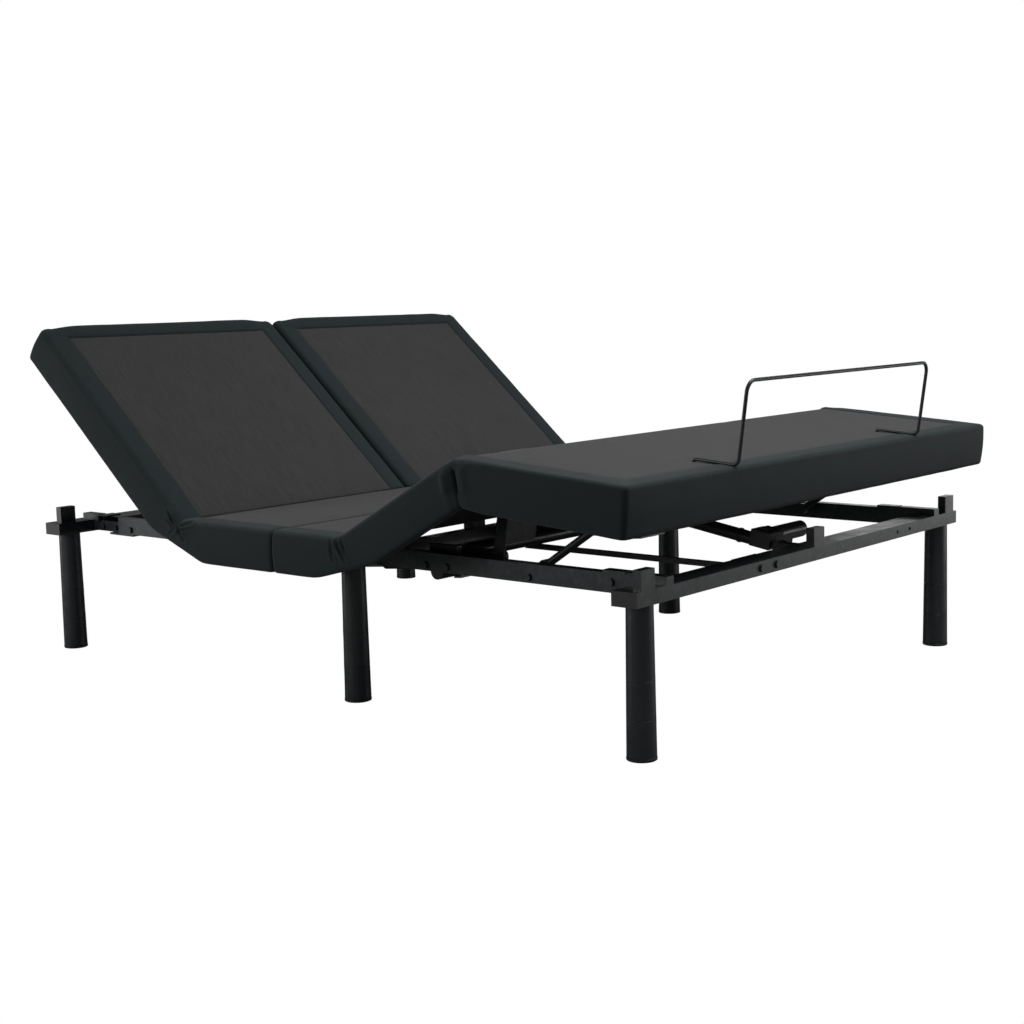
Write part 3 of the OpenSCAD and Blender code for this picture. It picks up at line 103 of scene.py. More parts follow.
class Nodes:
    """Short forms for building one material's node tree."""

    def __init__(self, name):
        self.mat = bpy.data.materials.new(name)
        self.mat.use_nodes = True
        self.tree = self.mat.node_tree
        self.bsdf = self.tree.nodes["Principled BSDF"]

    def new(self, kind, **values):
        node = self.tree.nodes.new(kind)
        for key, value in values.items():
            if hasattr(node, key):
                setattr(node, key, value)
            else:
                node.inputs[key.replace("_", " ")].default_value = value
        return node

    def link(self, a, b):
        self.tree.links.new(a, b)
        return b

    def noise(self, coords, scale, detail=3.0, rough=0.5):
        node = self.new("ShaderNodeTexNoise", Scale=scale, Detail=detail, Roughness=rough)
        self.link(coords, node.inputs["Vector"])
        return node.outputs["Fac"]

    def math(self, op, a, b=None):
        node = self.new("ShaderNodeMath", operation=op)
        for i, v in enumerate((a, b)):
            if v is None:
                continue
            if isinstance(v, (int, float)):
                node.inputs[i].default_value = v
            else:
                self.link(v, node.inputs[i])
        return node.outputs[0]

    def ramp(self, fac, low, high, low_color, high_color):
        """A colour that goes from one to the other while fac goes from low to high."""
        mix = self.new("ShaderNodeMix", data_type="RGBA")
        mix.inputs["A"].default_value = (*low_color, 1)
        mix.inputs["B"].default_value = (*high_color, 1)
        self.link(self.remap(fac, low, high, 0.0, 1.0), mix.inputs["Factor"])
        return mix.outputs["Result"]

    def remap(self, fac, low, high, to_low, to_high):
        node = self.new("ShaderNodeMapRange", From_Min=low, From_Max=high,
                        To_Min=to_low, To_Max=to_high)
        self.link(fac, node.inputs["Value"])
        return node.outputs[0]

    def multiply(self, color, fac):
        mix = self.new("ShaderNodeMix", data_type="RGBA", blend_type="MULTIPLY")
        mix.inputs["Factor"].default_value = 1.0
        self.link(color, mix.inputs["A"])
        self.link(fac, mix.inputs["B"])
        return mix.outputs["Result"]

    def bump(self, height, strength, distance, below=None):
        """A normal from height; distance is in metres, below is the normal under this one."""
        node = self.new("ShaderNodeBump", Strength=strength, Distance=distance)
        self.link(height, node.inputs["Height"])
        if below is not None:
            self.link(below, node.inputs["Normal"])
        return node.outputs["Normal"]

    def coords(self):
        return self.new("ShaderNodeTexCoord").outputs["Object"]

    def finish(self, color, rough, normal=None, metallic=0.0, specular=0.5, sheen=0.0,
               sheen_rough=0.5):
        for socket, value in (("Base Color", color), ("Roughness", rough), ("Normal", normal)):
            if value is None:
                continue
            if isinstance(value, (int, float)):
                self.bsdf.inputs[socket].default_value = value
            elif isinstance(value, tuple):
                self.bsdf.inputs[socket].default_value = (*value, 1)
            else:
                self.link(value, self.bsdf.inputs[socket])
        self.bsdf.inputs["Metallic"].default_value = metallic
        self.bsdf.inputs["Specular IOR Level"].default_value = specular
        self.bsdf.inputs["Sheen Weight"].default_value = sheen
        self.bsdf.inputs["Sheen Roughness"].default_value = sheen_rough
        return self.mat


def weave(n, threads_per_m):
    """Height of a plain weave over the UV map, in metres: 0 between threads, 1 on top of one."""
    uv = n.new("ShaderNodeUVMap", uv_map="cloth").outputs["UV"]
    wobble = n.new("ShaderNodeTexNoise", Scale=60.0, Detail=1.0)
    n.link(uv, wobble.inputs["Vector"])
    spread = n.new("ShaderNodeVectorMath", operation="SCALE")
    n.link(wobble.outputs["Color"], spread.inputs[0])
    spread.inputs["Scale"].default_value = 0.35 / threads_per_m
    moved = n.new("ShaderNodeVectorMath", operation="ADD")
    n.link(uv, moved.inputs[0])
    n.link(spread.outputs[0], moved.inputs[1])
    split = n.new("ShaderNodeSeparateXYZ")
    n.link(moved.outputs[0], split.inputs[0])
    waves, threads = [], []
    for axis in "XY":
        angle = n.math("MULTIPLY", split.outputs[axis], math.pi * threads_per_m)
        waves.append(n.math("SINE", angle))
        groove = n.math("ABSOLUTE", n.math("COSINE", angle))
        threads.append(n.math("SUBTRACT", 1.0, groove))
    over = n.math("MULTIPLY", *waves)
    mix = n.new("ShaderNodeMix", data_type="FLOAT")
    n.link(n.remap(over, -0.25, 0.25, 0.0, 1.0), mix.inputs["Factor"])
    n.link(threads[0], mix.inputs["A"])
    n.link(threads[1], mix.inputs["B"])
    return mix.outputs["Result"]


def fabric(name, dark, light, threads, sheen, rough, bump_mm, slub=0.16):
    """Woven upholstery cloth: threads, slubs, slow changes of tone where it is handled, and painted shade between
    the threads with painted lighter thread tops.
    """
    n = Nodes(name)
    obj = n.coords()
    height = weave(n, threads)
    uv = n.new("ShaderNodeUVMap", uv_map="cloth").outputs["UV"]
    tone = n.noise(obj, 5.0, 4.0, 0.55)
    stretch = n.new("ShaderNodeMapping")
    stretch.inputs["Scale"].default_value = (1.0, 0.06, 1.0)
    n.link(uv, stretch.inputs["Vector"])
    slubs = n.noise(stretch.outputs[0], threads * 0.35, 2.0, 0.6)
    base = n.ramp(tone, 0.3, 0.7, dark, light)
    # Painted shade and highlight: the colour is darkened between the threads and lightened on their tops, as light
    # and shade would fall on the weave.
    shade = n.remap(height, 0.0, 1.0, 0.72, 1.12)
    base = n.multiply(base, shade)
    base = n.multiply(base, n.remap(slubs, 0.35, 0.65, 1.0 - slub, 1.0 + slub))
    fuzz = n.noise(obj, 900.0, 2.0, 0.6)
    normal = n.bump(height, 0.55, bump_mm / 1000)
    normal = n.bump(fuzz, 0.25, 0.0004, normal)
    normal = n.bump(n.noise(obj, 38.0, 3.0, 0.5), 0.30, 0.0012, normal)
    roughness = n.remap(tone, 0.3, 0.7, rough - 0.04, rough + 0.04)
    return n.finish(base, roughness, normal, specular=0.28, sheen=sheen, sheen_rough=0.45)


def toned(color, share):
    return tuple(share * c for c in color)


def powder_coat(name, color, rough, grain=0.5, wear=0.5):
    """Sprayed satin coating: orange peel, cloudy tone, and lighter rubbed edges."""
    n = Nodes(name)
    obj = n.coords()
    cloud = n.noise(obj, 7.0, 4.0, 0.6)
    base = n.ramp(cloud, 0.3, 0.75, toned(color, 0.86), toned(color, 1.12))
    geo = n.new("ShaderNodeNewGeometry")
    edge = n.remap(geo.outputs["Pointiness"], 0.52, 0.60, 0.0, 1.0)
    patches = n.remap(n.noise(obj, 60.0, 3.0, 0.7), 0.45, 0.65, 0.0, wear)
    scuff = n.math("MULTIPLY", edge, patches)
    mix = n.new("ShaderNodeMix", data_type="RGBA")
    n.link(scuff, mix.inputs["Factor"])
    n.link(base, mix.inputs["A"])
    mix.inputs["B"].default_value = (*(min(1.0, 2.6 * c + 0.01) for c in color), 1)
    peel = n.noise(obj, 420.0, 2.0, 0.5)
    normal = n.bump(peel, 0.22 * grain, 0.0006)
    normal = n.bump(n.noise(obj, 14.0, 2.0, 0.5), 0.10, 0.002, normal)
    roughness = n.remap(n.noise(obj, 22.0, 3.0, 0.6), 0.3, 0.7, rough - 0.05, rough + 0.07)
    return n.finish(mix.outputs["Result"], roughness, normal)


def plated(name, color, rough):
    """Zinc plate: bright metal with a fine brushed grain and dull patches."""
    n = Nodes(name)
    obj = n.coords()
    patch = n.noise(obj, 45.0, 4.0, 0.65)
    base = n.ramp(patch, 0.35, 0.7, toned(color, 0.75), color)
    grain = n.new("ShaderNodeMapping")
    grain.inputs["Scale"].default_value = (1.0, 14.0, 14.0)
    n.link(obj, grain.inputs["Vector"])
    lines = n.noise(grain.outputs[0], 260.0, 2.0, 0.5)
    normal = n.bump(lines, 0.12, 0.0003)
    roughness = n.remap(patch, 0.3, 0.7, rough - 0.06, rough + 0.1)
    return n.finish(base, roughness, normal, metallic=1.0)


def moulded(name, color, rough):
    """Moulded plastic with a fine spark-eroded grain."""
    n = Nodes(name)
    obj = n.coords()
    grain = n.noise(obj, 1500.0, 2.0, 0.6)
    cloud = n.noise(obj, 9.0, 3.0, 0.5)
    base = n.ramp(cloud, 0.3, 0.7, toned(color, 0.9), toned(color, 1.1))
    normal = n.bump(grain, 0.3, 0.0002)
    roughness = n.remap(cloud, 0.3, 0.7, rough - 0.04, rough + 0.05)
    return n.finish(base, roughness, normal, specular=0.45)


def dust_cloth(name):
    """Black spun-bonded cloth under the boards: random fibres and bonding dots."""
    n = Nodes(name)
    obj = n.coords()
    fibres = n.noise(obj, 700.0, 4.0, 0.8)
    cells = n.new("ShaderNodeTexVoronoi", Scale=420.0)
    n.link(obj, cells.inputs["Vector"])
    dots = n.remap(cells.outputs["Distance"], 0.1, 0.35, 0.0, 1.0)
    base = n.ramp(fibres, 0.35, 0.65, (0.010, 0.010, 0.011), (0.026, 0.027, 0.028))
    normal = n.bump(dots, 0.3, 0.0004)
    normal = n.bump(fibres, 0.3, 0.0004, normal)
    return n.finish(base, 0.85, normal, specular=0.25, sheen=0.05)


WHITE = (1, 1, 1, 1)
FLOOR_GREY = 0.22


def floor_material():
    """Studio floor: white to the camera, and a soft grey bounce for the object."""
    n = Nodes("studio_floor")
    out = n.tree.nodes["Material Output"]
    n.finish((FLOOR_GREY,) * 3, 0.9, specular=0.0)
    glow = n.new("ShaderNodeEmission")
    glow.inputs["Color"].default_value = WHITE
    glow.inputs["Strength"].default_value = 1.0
    path = n.new("ShaderNodeLightPath")
    mix = n.new("ShaderNodeMixShader")
    n.link(path.outputs["Is Camera Ray"], mix.inputs[0])
    n.link(n.bsdf.outputs[0], mix.inputs[1])
    n.link(glow.outputs[0], mix.inputs[2])
    n.link(mix.outputs[0], out.inputs["Surface"])
    return n.mat


BORDER = fabric("border_cloth", (0.0105, 0.0184, 0.0202), (0.0142, 0.0236, 0.0262),
                threads=900.0, sheen=0.10, rough=0.86, bump_mm=0.30, slub=0.05)
INSET = fabric("inset_cloth", (0.0360, 0.0362, 0.0362), (0.0440, 0.0440, 0.0438),
               threads=620.0, sheen=0.16, rough=0.90, bump_mm=0.45)
COAT = powder_coat("powder_coat_black", (0.0150, 0.0185, 0.0205), rough=0.33)
LEG = powder_coat("leg_black", (0.0185, 0.0235, 0.0260), rough=0.32, grain=0.6, wear=0.2)
GREY = powder_coat("actuator_grey", (0.030, 0.031, 0.033), rough=0.36, grain=0.3, wear=0.3)
ZINC = plated("zinc_plate", (0.55, 0.56, 0.58), 0.34)
PLASTIC = moulded("black_plastic", (0.014, 0.014, 0.015), 0.45)
NYLON = moulded("nylon_disc", (0.62, 0.61, 0.56), 0.5)
DUST = dust_cloth("dust_cloth")

FINISH = {
    "powder_coat": COAT, "zinc": ZINC, "black_plastic": PLASTIC, "nylon": NYLON,
    "actuator_grey": GREY, "board": DUST, "border_fabric": BORDER, "inset_fabric": INSET,
    "leg_plastic": LEG,
}


def dress_cad_nodes():
    """Gives each CAD node the finish of its material slot in the record."""
    slots = {s["node"]: s["material_slot"] for s in frame["record"]["subparts"]}
    for name, obj in NODES.items():
        obj.data.materials.clear()
        obj.data.materials.append(FINISH[slots[name]])


dress_cad_nodes()


# ---------------------------------------------------------------- deck directions

class Section:
    """A deck section's own directions: s along it from its hinge, n out of its top, x across."""

    def __init__(self, origin, s_dir, n_dir):
        self.o = np.array(origin, float)
        self.s = np.array(s_dir, float)
        self.n = np.array(n_dir, float)

    def at(self, x, s, n):
        return self.o + np.array((1.0, 0, 0)) * x + self.s * s + self.n * n


def hinge(name):
    return np.array(JOINTS[name]["pos_m"], float)


BACK_A = math.radians(-JOINTS["back_left"]["range_deg"][0])
THIGH_A = math.radians(-JOINTS["thigh"]["range_deg"][0])
coupling = {c["joint"]: c for c in frame["record"]["behaviour"]["couplings"]}
KNEE_A = THIGH_A * coupling["foot"]["ratio"]
FALL = KNEE_A - THIGH_A

B, T, K = hinge("back_left"), hinge("thigh"), hinge("foot")
seat_lo, seat_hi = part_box("seat_covers")
HALF = seat_hi.x  # half the deck's width
TOP = seat_hi.z - B[2]  # top of the deck over the hinge line
DROP = B[2] - seat_lo.z  # how far the sides hang below it
SPLIT = -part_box("back_cover_left")[1].x  # half the gap between the back sections

SEAT_R = Section(B, (0, -1, 0), (0, 0, 1))
BACK = Section(B, (0, math.cos(BACK_A), math.sin(BACK_A)),
               (0, -math.sin(BACK_A), math.cos(BACK_A)))
SEAT_F = Section(T, (0, 1, 0), (0, 0, 1))
THIGH = Section(T, (0, -math.cos(THIGH_A), math.sin(THIGH_A)),
                (0, math.sin(THIGH_A), math.cos(THIGH_A)))
FOOT = Section(K, (0, -math.cos(FALL), -math.sin(FALL)),
               (0, -math.sin(FALL), math.cos(FALL)))
THIGH_BACK = Section(K, -THIGH.s, THIGH.n)


def reach(node, sec):
    """How far a CAD node reaches along a section."""
    co = np.array([v.co for v in NODES[node].data.vertices])
    return float(((co - sec.o) @ sec.s).max())


BACK_L = reach("back_cover_left", BACK)
FOOT_L = reach("foot_cover", FOOT)
THIGH_L = float(np.linalg.norm(K - T))
CRACK_Y = float((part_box("front_rails")[1].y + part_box("rear_rails")[0].y) / 2)
CRACK_R = B[1] - CRACK_Y  # from the back hinge to the crack in the seat
CRACK_F = CRACK_Y - T[1]  # from the crack to the thigh hinge
SEAM_S = THIGH_L / 2  # where the thigh's border meets the foot's
KNEE_HALF = KNEE_A / 2


# ---------------------------------------------------------------- mesh helpers

def smooth01(t):
    t = np.clip(t, 0.0, 1.0)
    return t * t * (3 - 2 * t)


MERGE_DIST, SLIVER_DIST = 2e-5, 1e-6


def new_mesh(name, verts, faces, uvs, material):
    """A smooth mesh object with a UV map named cloth; uvs is one pair per vertex."""
    mesh = bpy.data.meshes.new(name)
    mesh.from_pydata([tuple(v) for v in verts], [], [tuple(int(i) for i in f) for f in faces])
    layer = mesh.uv_layers.new(name="cloth")
    loops = np.zeros(len(mesh.loops), np.int32)
    mesh.loops.foreach_get("vertex_index", loops)
    layer.data.foreach_set("uv", np.asarray(uvs, np.float32)[loops].ravel())
    obj = bpy.data.objects.new(name, mesh)
    scene.collection.objects.link(obj)
    bm = bmesh.new()
    bm.from_mesh(mesh)
    bmesh.ops.remove_doubles(bm, verts=bm.verts, dist=MERGE_DIST)
    bmesh.ops.dissolve_degenerate(bm, edges=bm.edges, dist=SLIVER_DIST)
    bmesh.ops.recalc_face_normals(bm, faces=bm.faces)
    bm.to_mesh(mesh)
    bm.free()
    mesh.materials.append(material)
    mesh.shade_smooth()
    return obj


def grid_faces(rows, cols, start=0, flip=False):
    i, j = np.meshgrid(np.arange(rows - 1), np.arange(cols - 1), indexing="ij")
    a = start + i * cols + j
    quad = np.stack([a, a + 1, a + cols + 1, a + cols], -1).reshape(-1, 4)
    return quad[:, ::-1] if flip else quad


HASH_X, HASH_Y, HASH_Z, HASH_MIX = 374761393, 668265263, 2147483647, 1274126177
SEED_STEP = 17.31


def vnoise(points, scale, seed):
    """Smooth noise from -1 to 1 at each point, the same in every run."""
    p = np.asarray(points, float) * scale + seed * SEED_STEP
    cell = np.floor(p).astype(np.int64)
    f = p - cell
    f = f * f * (3 - 2 * f)
    total = np.zeros(len(p))
    for dx in (0, 1):
        for dy in (0, 1):
            for dz in (0, 1):
                c = cell + np.array((dx, dy, dz))
                h = (c[:, 0] * HASH_X + c[:, 1] * HASH_Y + c[:, 2] * HASH_Z) & 0xFFFFFFFF
                h = ((h ^ (h >> 13)) * HASH_MIX) & 0xFFFFFFFF
                value = ((h ^ (h >> 16)) & 0xFFFF) / 32767.5 - 1
                weight = (
                    (f[:, 0] if dx else 1 - f[:, 0])
                    * (f[:, 1] if dy else 1 - f[:, 1])
                    * (f[:, 2] if dz else 1 - f[:, 2])
                )
                total += value * weight
    return total


# ---------------------------------------------------------------- border bands

E_BACK, E_GAP, E_HEAD = 0.058, 0.055, 0.042  # border widths round a back section
E_SEAT, E_FOOT, E_END = 0.059, 0.062, 0.047  # beside the seat, beside and below the foot
EDGE_R, FOOT_EDGE_R = 0.015, 0.009  # roundness of the top edge
CORNER, FOOT_CORNER = 0.016, 0.010  # plan corners, outside
INSET_CORNER, FOOT_INSET_CORNER = 0.002, 0.018  # plan corners, at the inset
HEM_IN = 0.019  # how far the hem turns in below
BACK_HEM, THIGH_HEM = 0.070, 0.075  # from a hinge to where its hem starts to rise
HEM_SOFT = 0.006
SPLIT_DROP = 0.033  # how far the border hangs in the gap between the backs
FOOT_DROP = DROP + 0.006
CLOTH = 0.0012  # thickness of the cloth
RIM_ANGLE = math.radians(75)
SIDE_ROWS = 20
FIXED_COLS, INNER_COL, EDGE_COL, SIDE_COL = 4, 8, 16, 24  # columns of a border profile
FINE, SEAT_STEP, THIGH_STEP, LONG_STEP = 0.0035, 0.010, 0.012, 0.014  # between stations
CRACK_ROUND = 0.012  # length of a band's rounded end at the crack
WIDEN_OVER = 0.1  # length over which a border's width changes


def border_profile(e_in, drop, edge_r=EDGE_R):
    """Points from under the inset to inside the hem: inward from the edge, over the hinge line."""
    pts = [(e_in + 0.012, TOP - 0.0046), (e_in + 0.0040, TOP - 0.0044),
           (e_in + 0.0018, TOP - 0.0034), (e_in + 0.0002, TOP - 0.0012),
           (e_in - 0.0018, TOP - 0.0001)]
    for t in np.linspace(0.08, 1.0, 8):
        pts.append((e_in + (edge_r - e_in) * t, TOP + 0.0009 * math.sin(math.pi * t)))
    for a in np.radians(np.linspace(13, 90, 7)):
        pts.append((edge_r * (1 - math.sin(a)), TOP - edge_r * (1 - math.cos(a))))
    low, top = -drop + 0.005, TOP - edge_r
    for t in (np.linspace(0, 1, SIDE_ROWS + 1)[1:]) ** 1.15:
        pts.append((-0.0022 * math.sin(math.pi * t), top + (low - top) * t))
    pts += [(0.0010, -drop + 0.0010), (0.0040, -drop - 0.0016), (0.0100, -drop - 0.0022),
            (HEM_IN, -drop - 0.0020), (HEM_IN + 0.0030, -drop + 0.0014),
            (HEM_IN + 0.0036, -drop + 0.012)]
    return np.array(pts)


def inward_normals(profile):
    d = np.gradient(profile, axis=0)
    d /= np.linalg.norm(d, axis=1, keepdims=True) + 1e-12
    return np.stack([-d[:, 1], d[:, 0]], 1)


class Band:
    """A border swept along the edge of the deck, station by station."""

    def __init__(self):
        self.rows, self.us, self.u, self.last = [], [], 0.0, None

    def add(self, point, e_in, drop=DROP, off=0.0, edge_r=EDGE_R):
        """point(e, n) gives the places in space of arrays of e, inward, and n, upward."""
        prof = border_profile(e_in, drop, edge_r)
        if off:
            prof = prof + inward_normals(prof) * off
        row = point(prof[:, 0], prof[:, 1])
        here = row[EDGE_COL]
        if self.last is not None:
            self.u += float(np.linalg.norm(here - self.last))
        self.last = here
        self.rows.append(row)
        self.us.append(self.u)

    def mesh(self, name, shape):
        """The cloth itself; shape moves the swept grid's points."""
        grid = np.array(self.rows)
        rows, cols, _ = grid.shape
        along = np.linalg.norm(np.diff(border_profile(E_BACK, DROP), axis=0), axis=1)
        v = np.concatenate([[0], np.cumsum(along)])
        uv = np.stack([np.repeat(self.us, cols), np.tile(v, rows)], 1)
        points = shape(grid).reshape(-1, 3)
        obj = new_mesh(name, points, grid_faces(rows, cols), uv, BORDER)
        thick = obj.modifiers.new("cloth thickness", "SOLIDIFY")
        thick.thickness = CLOTH
        thick.offset = 1.0
        # The rim's corner stays out of the smooth shading, or the seam of two bands would show.
        rim = obj.modifiers.new("crisp cloth edge", "EDGE_SPLIT")
        rim.use_edge_angle = True
        rim.split_angle = RIM_ANGLE
        rim.use_edge_sharp = False
        return obj


def side(sec, x, out, s):
    """Station on a long side: x of the outer edge, out is +1 or -1, s along the section."""
    base, o = sec.at(x, s, 0), np.array((float(out), 0, 0))
    return lambda e, n: base - np.outer(e, o) + np.outer(n, sec.n)


def end(sec, x, s_edge):
    """Station on an end edge that faces along the section, at s_edge."""
    base = sec.at(x, s_edge, 0)
    return lambda e, n: base - np.outer(e, sec.s) + np.outer(n, sec.n)


def corner(sec, x, out, s_edge, phi, e_side, e_end, r, r_in):
    """Station in a plan corner: phi goes from 0 at the long side to 90 degrees at the end."""
    ox = np.array((float(out), 0, 0))
    direction = ox * math.cos(phi) + sec.s * math.sin(phi)
    outer = sec.at(x - out * r, s_edge - r, 0) + direction * r
    inner_centre = sec.at(x - out * (e_side + r_in), s_edge - e_end - r_in, 0)
    inner = inner_centre + direction * r_in
    widest = max(e_side, e_end)

    def point(e, n):
        inward = np.outer(np.clip(e, 0, None) / widest, inner - outer)
        return outer + inward + np.outer(np.clip(-e, 0, None), direction) + np.outer(n, sec.n)

    return point


def turn_corner(band, sec, x, out, s_edge, e_side, e_end, drop_side=DROP, drop_end=DROP,
                reverse=False, r=CORNER, r_in=INSET_CORNER, edge_r=EDGE_R):
    """Stations through a plan corner; reverse goes from the end to the side."""
    shares = np.linspace(0, 1, 9)
    for share in (shares[::-1] if reverse else shares):
        phi = share * math.pi / 2
        drop = drop_side + (drop_end - drop_side) * smooth01(share)
        band.add(corner(sec, x, out, s_edge, phi, e_side, e_end, r, r_in),
                 max(e_side, e_end), drop, edge_r=edge_r)


def hem_drop(s, start, angle):
    """How far a side hangs at s from a hinge: its hem rises straight towards the hinge."""
    return DROP - math.tan(angle / 2) * HEM_SOFT * math.log1p(math.exp((start - s) / HEM_SOFT))


def fan_drop(share, start, angle):
    """How far the cloth hangs beside the hinge itself, where the hem is one straight line."""
    middle = hem_drop(0.0, start, angle) * math.cos(angle / 2)
    return middle / math.cos((share - 0.5) * angle)


def between(sec_a, sec_b, share, total):
    """The direction share of the way from sec_a's normal to sec_b's, total apart."""
    a, b = math.sin((1 - share) * total), math.sin(share * total)
    return (sec_a.n * a + sec_b.n * b) / math.sin(total)


def middle_normal(sec_a, sec_b):
    return (sec_a.n + sec_b.n) / np.linalg.norm(sec_a.n + sec_b.n)


FOLD_SINK = 0.55  # share of the deck's height that is left where the top folds in


def fold_up(sec_a, sec_b, x, out, share):
    """Station at a hinge where the deck folds upward: share is 0 at sec_a and 1 at sec_b."""
    o = np.array((float(out), 0, 0))
    total = math.acos(max(-1.0, min(1.0, float(sec_a.n @ sec_b.n))))
    low = between(sec_a, sec_b, share, total)
    mid = middle_normal(sec_a, sec_b)
    base = sec_a.at(x, 0, 0)

    def point(e, n):
        return (base - np.outer(e, o) + np.outer(np.clip(n, None, 0), low)
                + np.outer(np.clip(n, 0, None) * FOLD_SINK, mid))

    return point


KNEE_SOFT = 0.0055


def beside_knee(sec, x, out, s, half):
    """Station beside the knee: low down, the cloth bends away from the fold's middle plane."""
    base, o = sec.at(x, 0, 0), np.array((float(out), 0, 0))

    def point(e, n):
        plane = np.clip(-n, 0, None) * math.tan(half)
        slack = KNEE_SOFT * smooth01((-n - 0.004) / 0.020) + 1e-5
        along = np.where(n < 0, slack * np.logaddexp(s / slack, plane / slack), s)
        return base + np.outer(along, sec.s) - np.outer(e, o) + np.outer(n, sec.n)

    return point


def over_knee(sec_a, sec_b, x, out, share, half):
    """Station over the knee: above the hinge line an arc, below it the middle plane."""
    o = np.array((float(out), 0, 0))
    up = between(sec_a, sec_b, share, 2 * half)
    mid = middle_normal(sec_a, sec_b)
    base = sec_a.at(x, 0, 0)

    def point(e, n):
        return (base - np.outer(e, o) + np.outer(np.clip(n, 0, None), up)
                + np.outer(np.clip(n, None, 0) / math.cos(half), mid))

    return point


def spread(a, b, step):
    """Even places from a to b, about step apart."""
    return np.linspace(a, b, max(2, int(round(abs(b - a) / step)) + 1))


THIGH_REACH = 0.06


def dense(near, far, fine, coarse, reach_fine=0.07):
    """Places from near to far, close together within reach_fine of near."""
    cut = near + math.copysign(min(reach_fine, abs(far - near) * 0.6), far - near)
    return np.concatenate([spread(near, cut, fine), spread(cut, far, coarse)[1:]])


def crack_end(band, sec, x, out, s_crack):
    """The rounded start of a band at the crack in the seat."""
    for back, off in ((0.0008, 0.0130), (0.0008, 0.0085), (0.0014, 0.0052), (0.0028, 0.0030),
                      (0.0050, 0.0014), (0.0080, 0.0004), (CRACK_ROUND, 0.0)):
        band.add(side(sec, x, out, s_crack - back), E_SEAT, off=off)


def back_band(out):
    """A back section's border: seat side, hinge, outer side, head, and down the gap."""
    band = Band()
    x = out * HALF
    crack_end(band, SEAT_R, x, out, CRACK_R)
    for s in dense(0.0, CRACK_R - CRACK_ROUND, FINE, SEAT_STEP)[::-1][1:]:
        width = E_BACK + (E_SEAT - E_BACK) * smooth01(s / WIDEN_OVER)
        band.add(side(SEAT_R, x, out, s), width, hem_drop(s, BACK_HEM, BACK_A))
    for share in np.linspace(0, 1, 13)[1:-1]:
        drop = fan_drop(share, BACK_HEM, BACK_A)
        band.add(fold_up(SEAT_R, BACK, x, out, share), E_BACK, drop)
    for s in dense(0.0, BACK_L - CORNER, FINE, LONG_STEP)[:-1]:
        band.add(side(BACK, x, out, s), E_BACK, hem_drop(s, BACK_HEM, BACK_A))
    turn_corner(band, BACK, x, out, BACK_L, E_BACK, E_HEAD)
    inner = out * SPLIT
    for place in spread(x - out * CORNER, inner + out * CORNER, LONG_STEP)[1:-1]:
        band.add(end(BACK, place, BACK_L), E_HEAD)
    turn_corner(band, BACK, inner, -out, BACK_L, E_GAP, E_HEAD, drop_side=SPLIT_DROP,
                reverse=True)
    for s in spread(BACK_L - CORNER, 0.012, LONG_STEP)[1:]:
        band.add(side(BACK, inner, -out, s), E_GAP, SPLIT_DROP)
    for s, off in ((0.008, 0.0006), (0.005, 0.002), (0.0035, 0.004), (0.003, 0.008)):
        band.add(side(BACK, inner, -out, s), E_GAP, SPLIT_DROP, off)
    return band


def thigh_band(out):
    """The side border from the crack in the seat, past the thigh hinge, to mid-thigh."""
    band = Band()
    x = out * HALF
    crack_end(band, SEAT_F, x, out, CRACK_F)
    for s in dense(0.0, CRACK_F - CRACK_ROUND, FINE, SEAT_STEP, THIGH_REACH)[::-1][1:]:
        band.add(side(SEAT_F, x, out, s), E_SEAT, hem_drop(s, THIGH_HEM, THIGH_A))
    for share in np.linspace(0, 1, 11)[1:-1]:
        drop = fan_drop(share, THIGH_HEM, THIGH_A)
        band.add(fold_up(SEAT_F, THIGH, x, out, share), E_SEAT, drop)
    for s in dense(0.0, SEAM_S, FINE, THIGH_STEP, THIGH_REACH):
        band.add(side(THIGH, x, out, s), E_SEAT, hem_drop(s, THIGH_HEM, THIGH_A))
    return band


def foot_band():
    """The border from mid-thigh on the left, over the knee, round the foot end, and back."""
    band = Band()
    round_foot = dict(drop_side=FOOT_DROP, drop_end=FOOT_DROP, r=FOOT_CORNER,
                      r_in=FOOT_INSET_CORNER, edge_r=FOOT_EDGE_R)
    thigh_s = dense(0.0, THIGH_L - SEAM_S, FINE, THIGH_STEP)
    foot_s = dense(0.0, FOOT_L - FOOT_CORNER, FINE, LONG_STEP)
    for out in (-1, 1):
        x = out * HALF
        # Each station: its place, and how far it has gone over to the foot's own edge.
        stations = [(beside_knee(THIGH_BACK, x, out, s, KNEE_HALF), 0.0) for s in thigh_s[::-1]]
        stations += [(over_knee(THIGH_BACK, FOOT, x, out, share, KNEE_HALF), 0.0)
                     for share in np.linspace(0, 1, 9)[1:-1]]
        stations += [(beside_knee(FOOT, x, out, s, KNEE_HALF), smooth01(s / WIDEN_OVER))
                     for s in foot_s[:-1]]
        if out > 0:
            turn_corner(band, FOOT, x, out, FOOT_L, E_FOOT, E_END, reverse=True, **round_foot)
            stations = stations[::-1]
        for point, share in stations:
            band.add(point, E_SEAT + (E_FOOT - E_SEAT) * share,
                     DROP + (FOOT_DROP - DROP) * share,
                     edge_r=EDGE_R + (FOOT_EDGE_R - EDGE_R) * share)
        if out < 0:
            turn_corner(band, FOOT, x, out, FOOT_L, E_FOOT, E_END, **round_foot)
            first = x - out * (E_FOOT + FOOT_INSET_CORNER)
            for place in spread(first, -first, LONG_STEP):
                band.add(end(FOOT, place, FOOT_L), E_END, FOOT_DROP, edge_r=FOOT_EDGE_R)
    return band


# ---------------------------------------------------------------- creases

def segment_distance(points, a, b):
    """Distance from each point to the segment a-b, and the nearest place along it, 0 to 1."""
    ab = b - a
    t = np.clip(((points - a) @ ab) / (ab @ ab), 0, 1)
    return np.linalg.norm(points - (a + t[:, None] * ab), axis=1), t


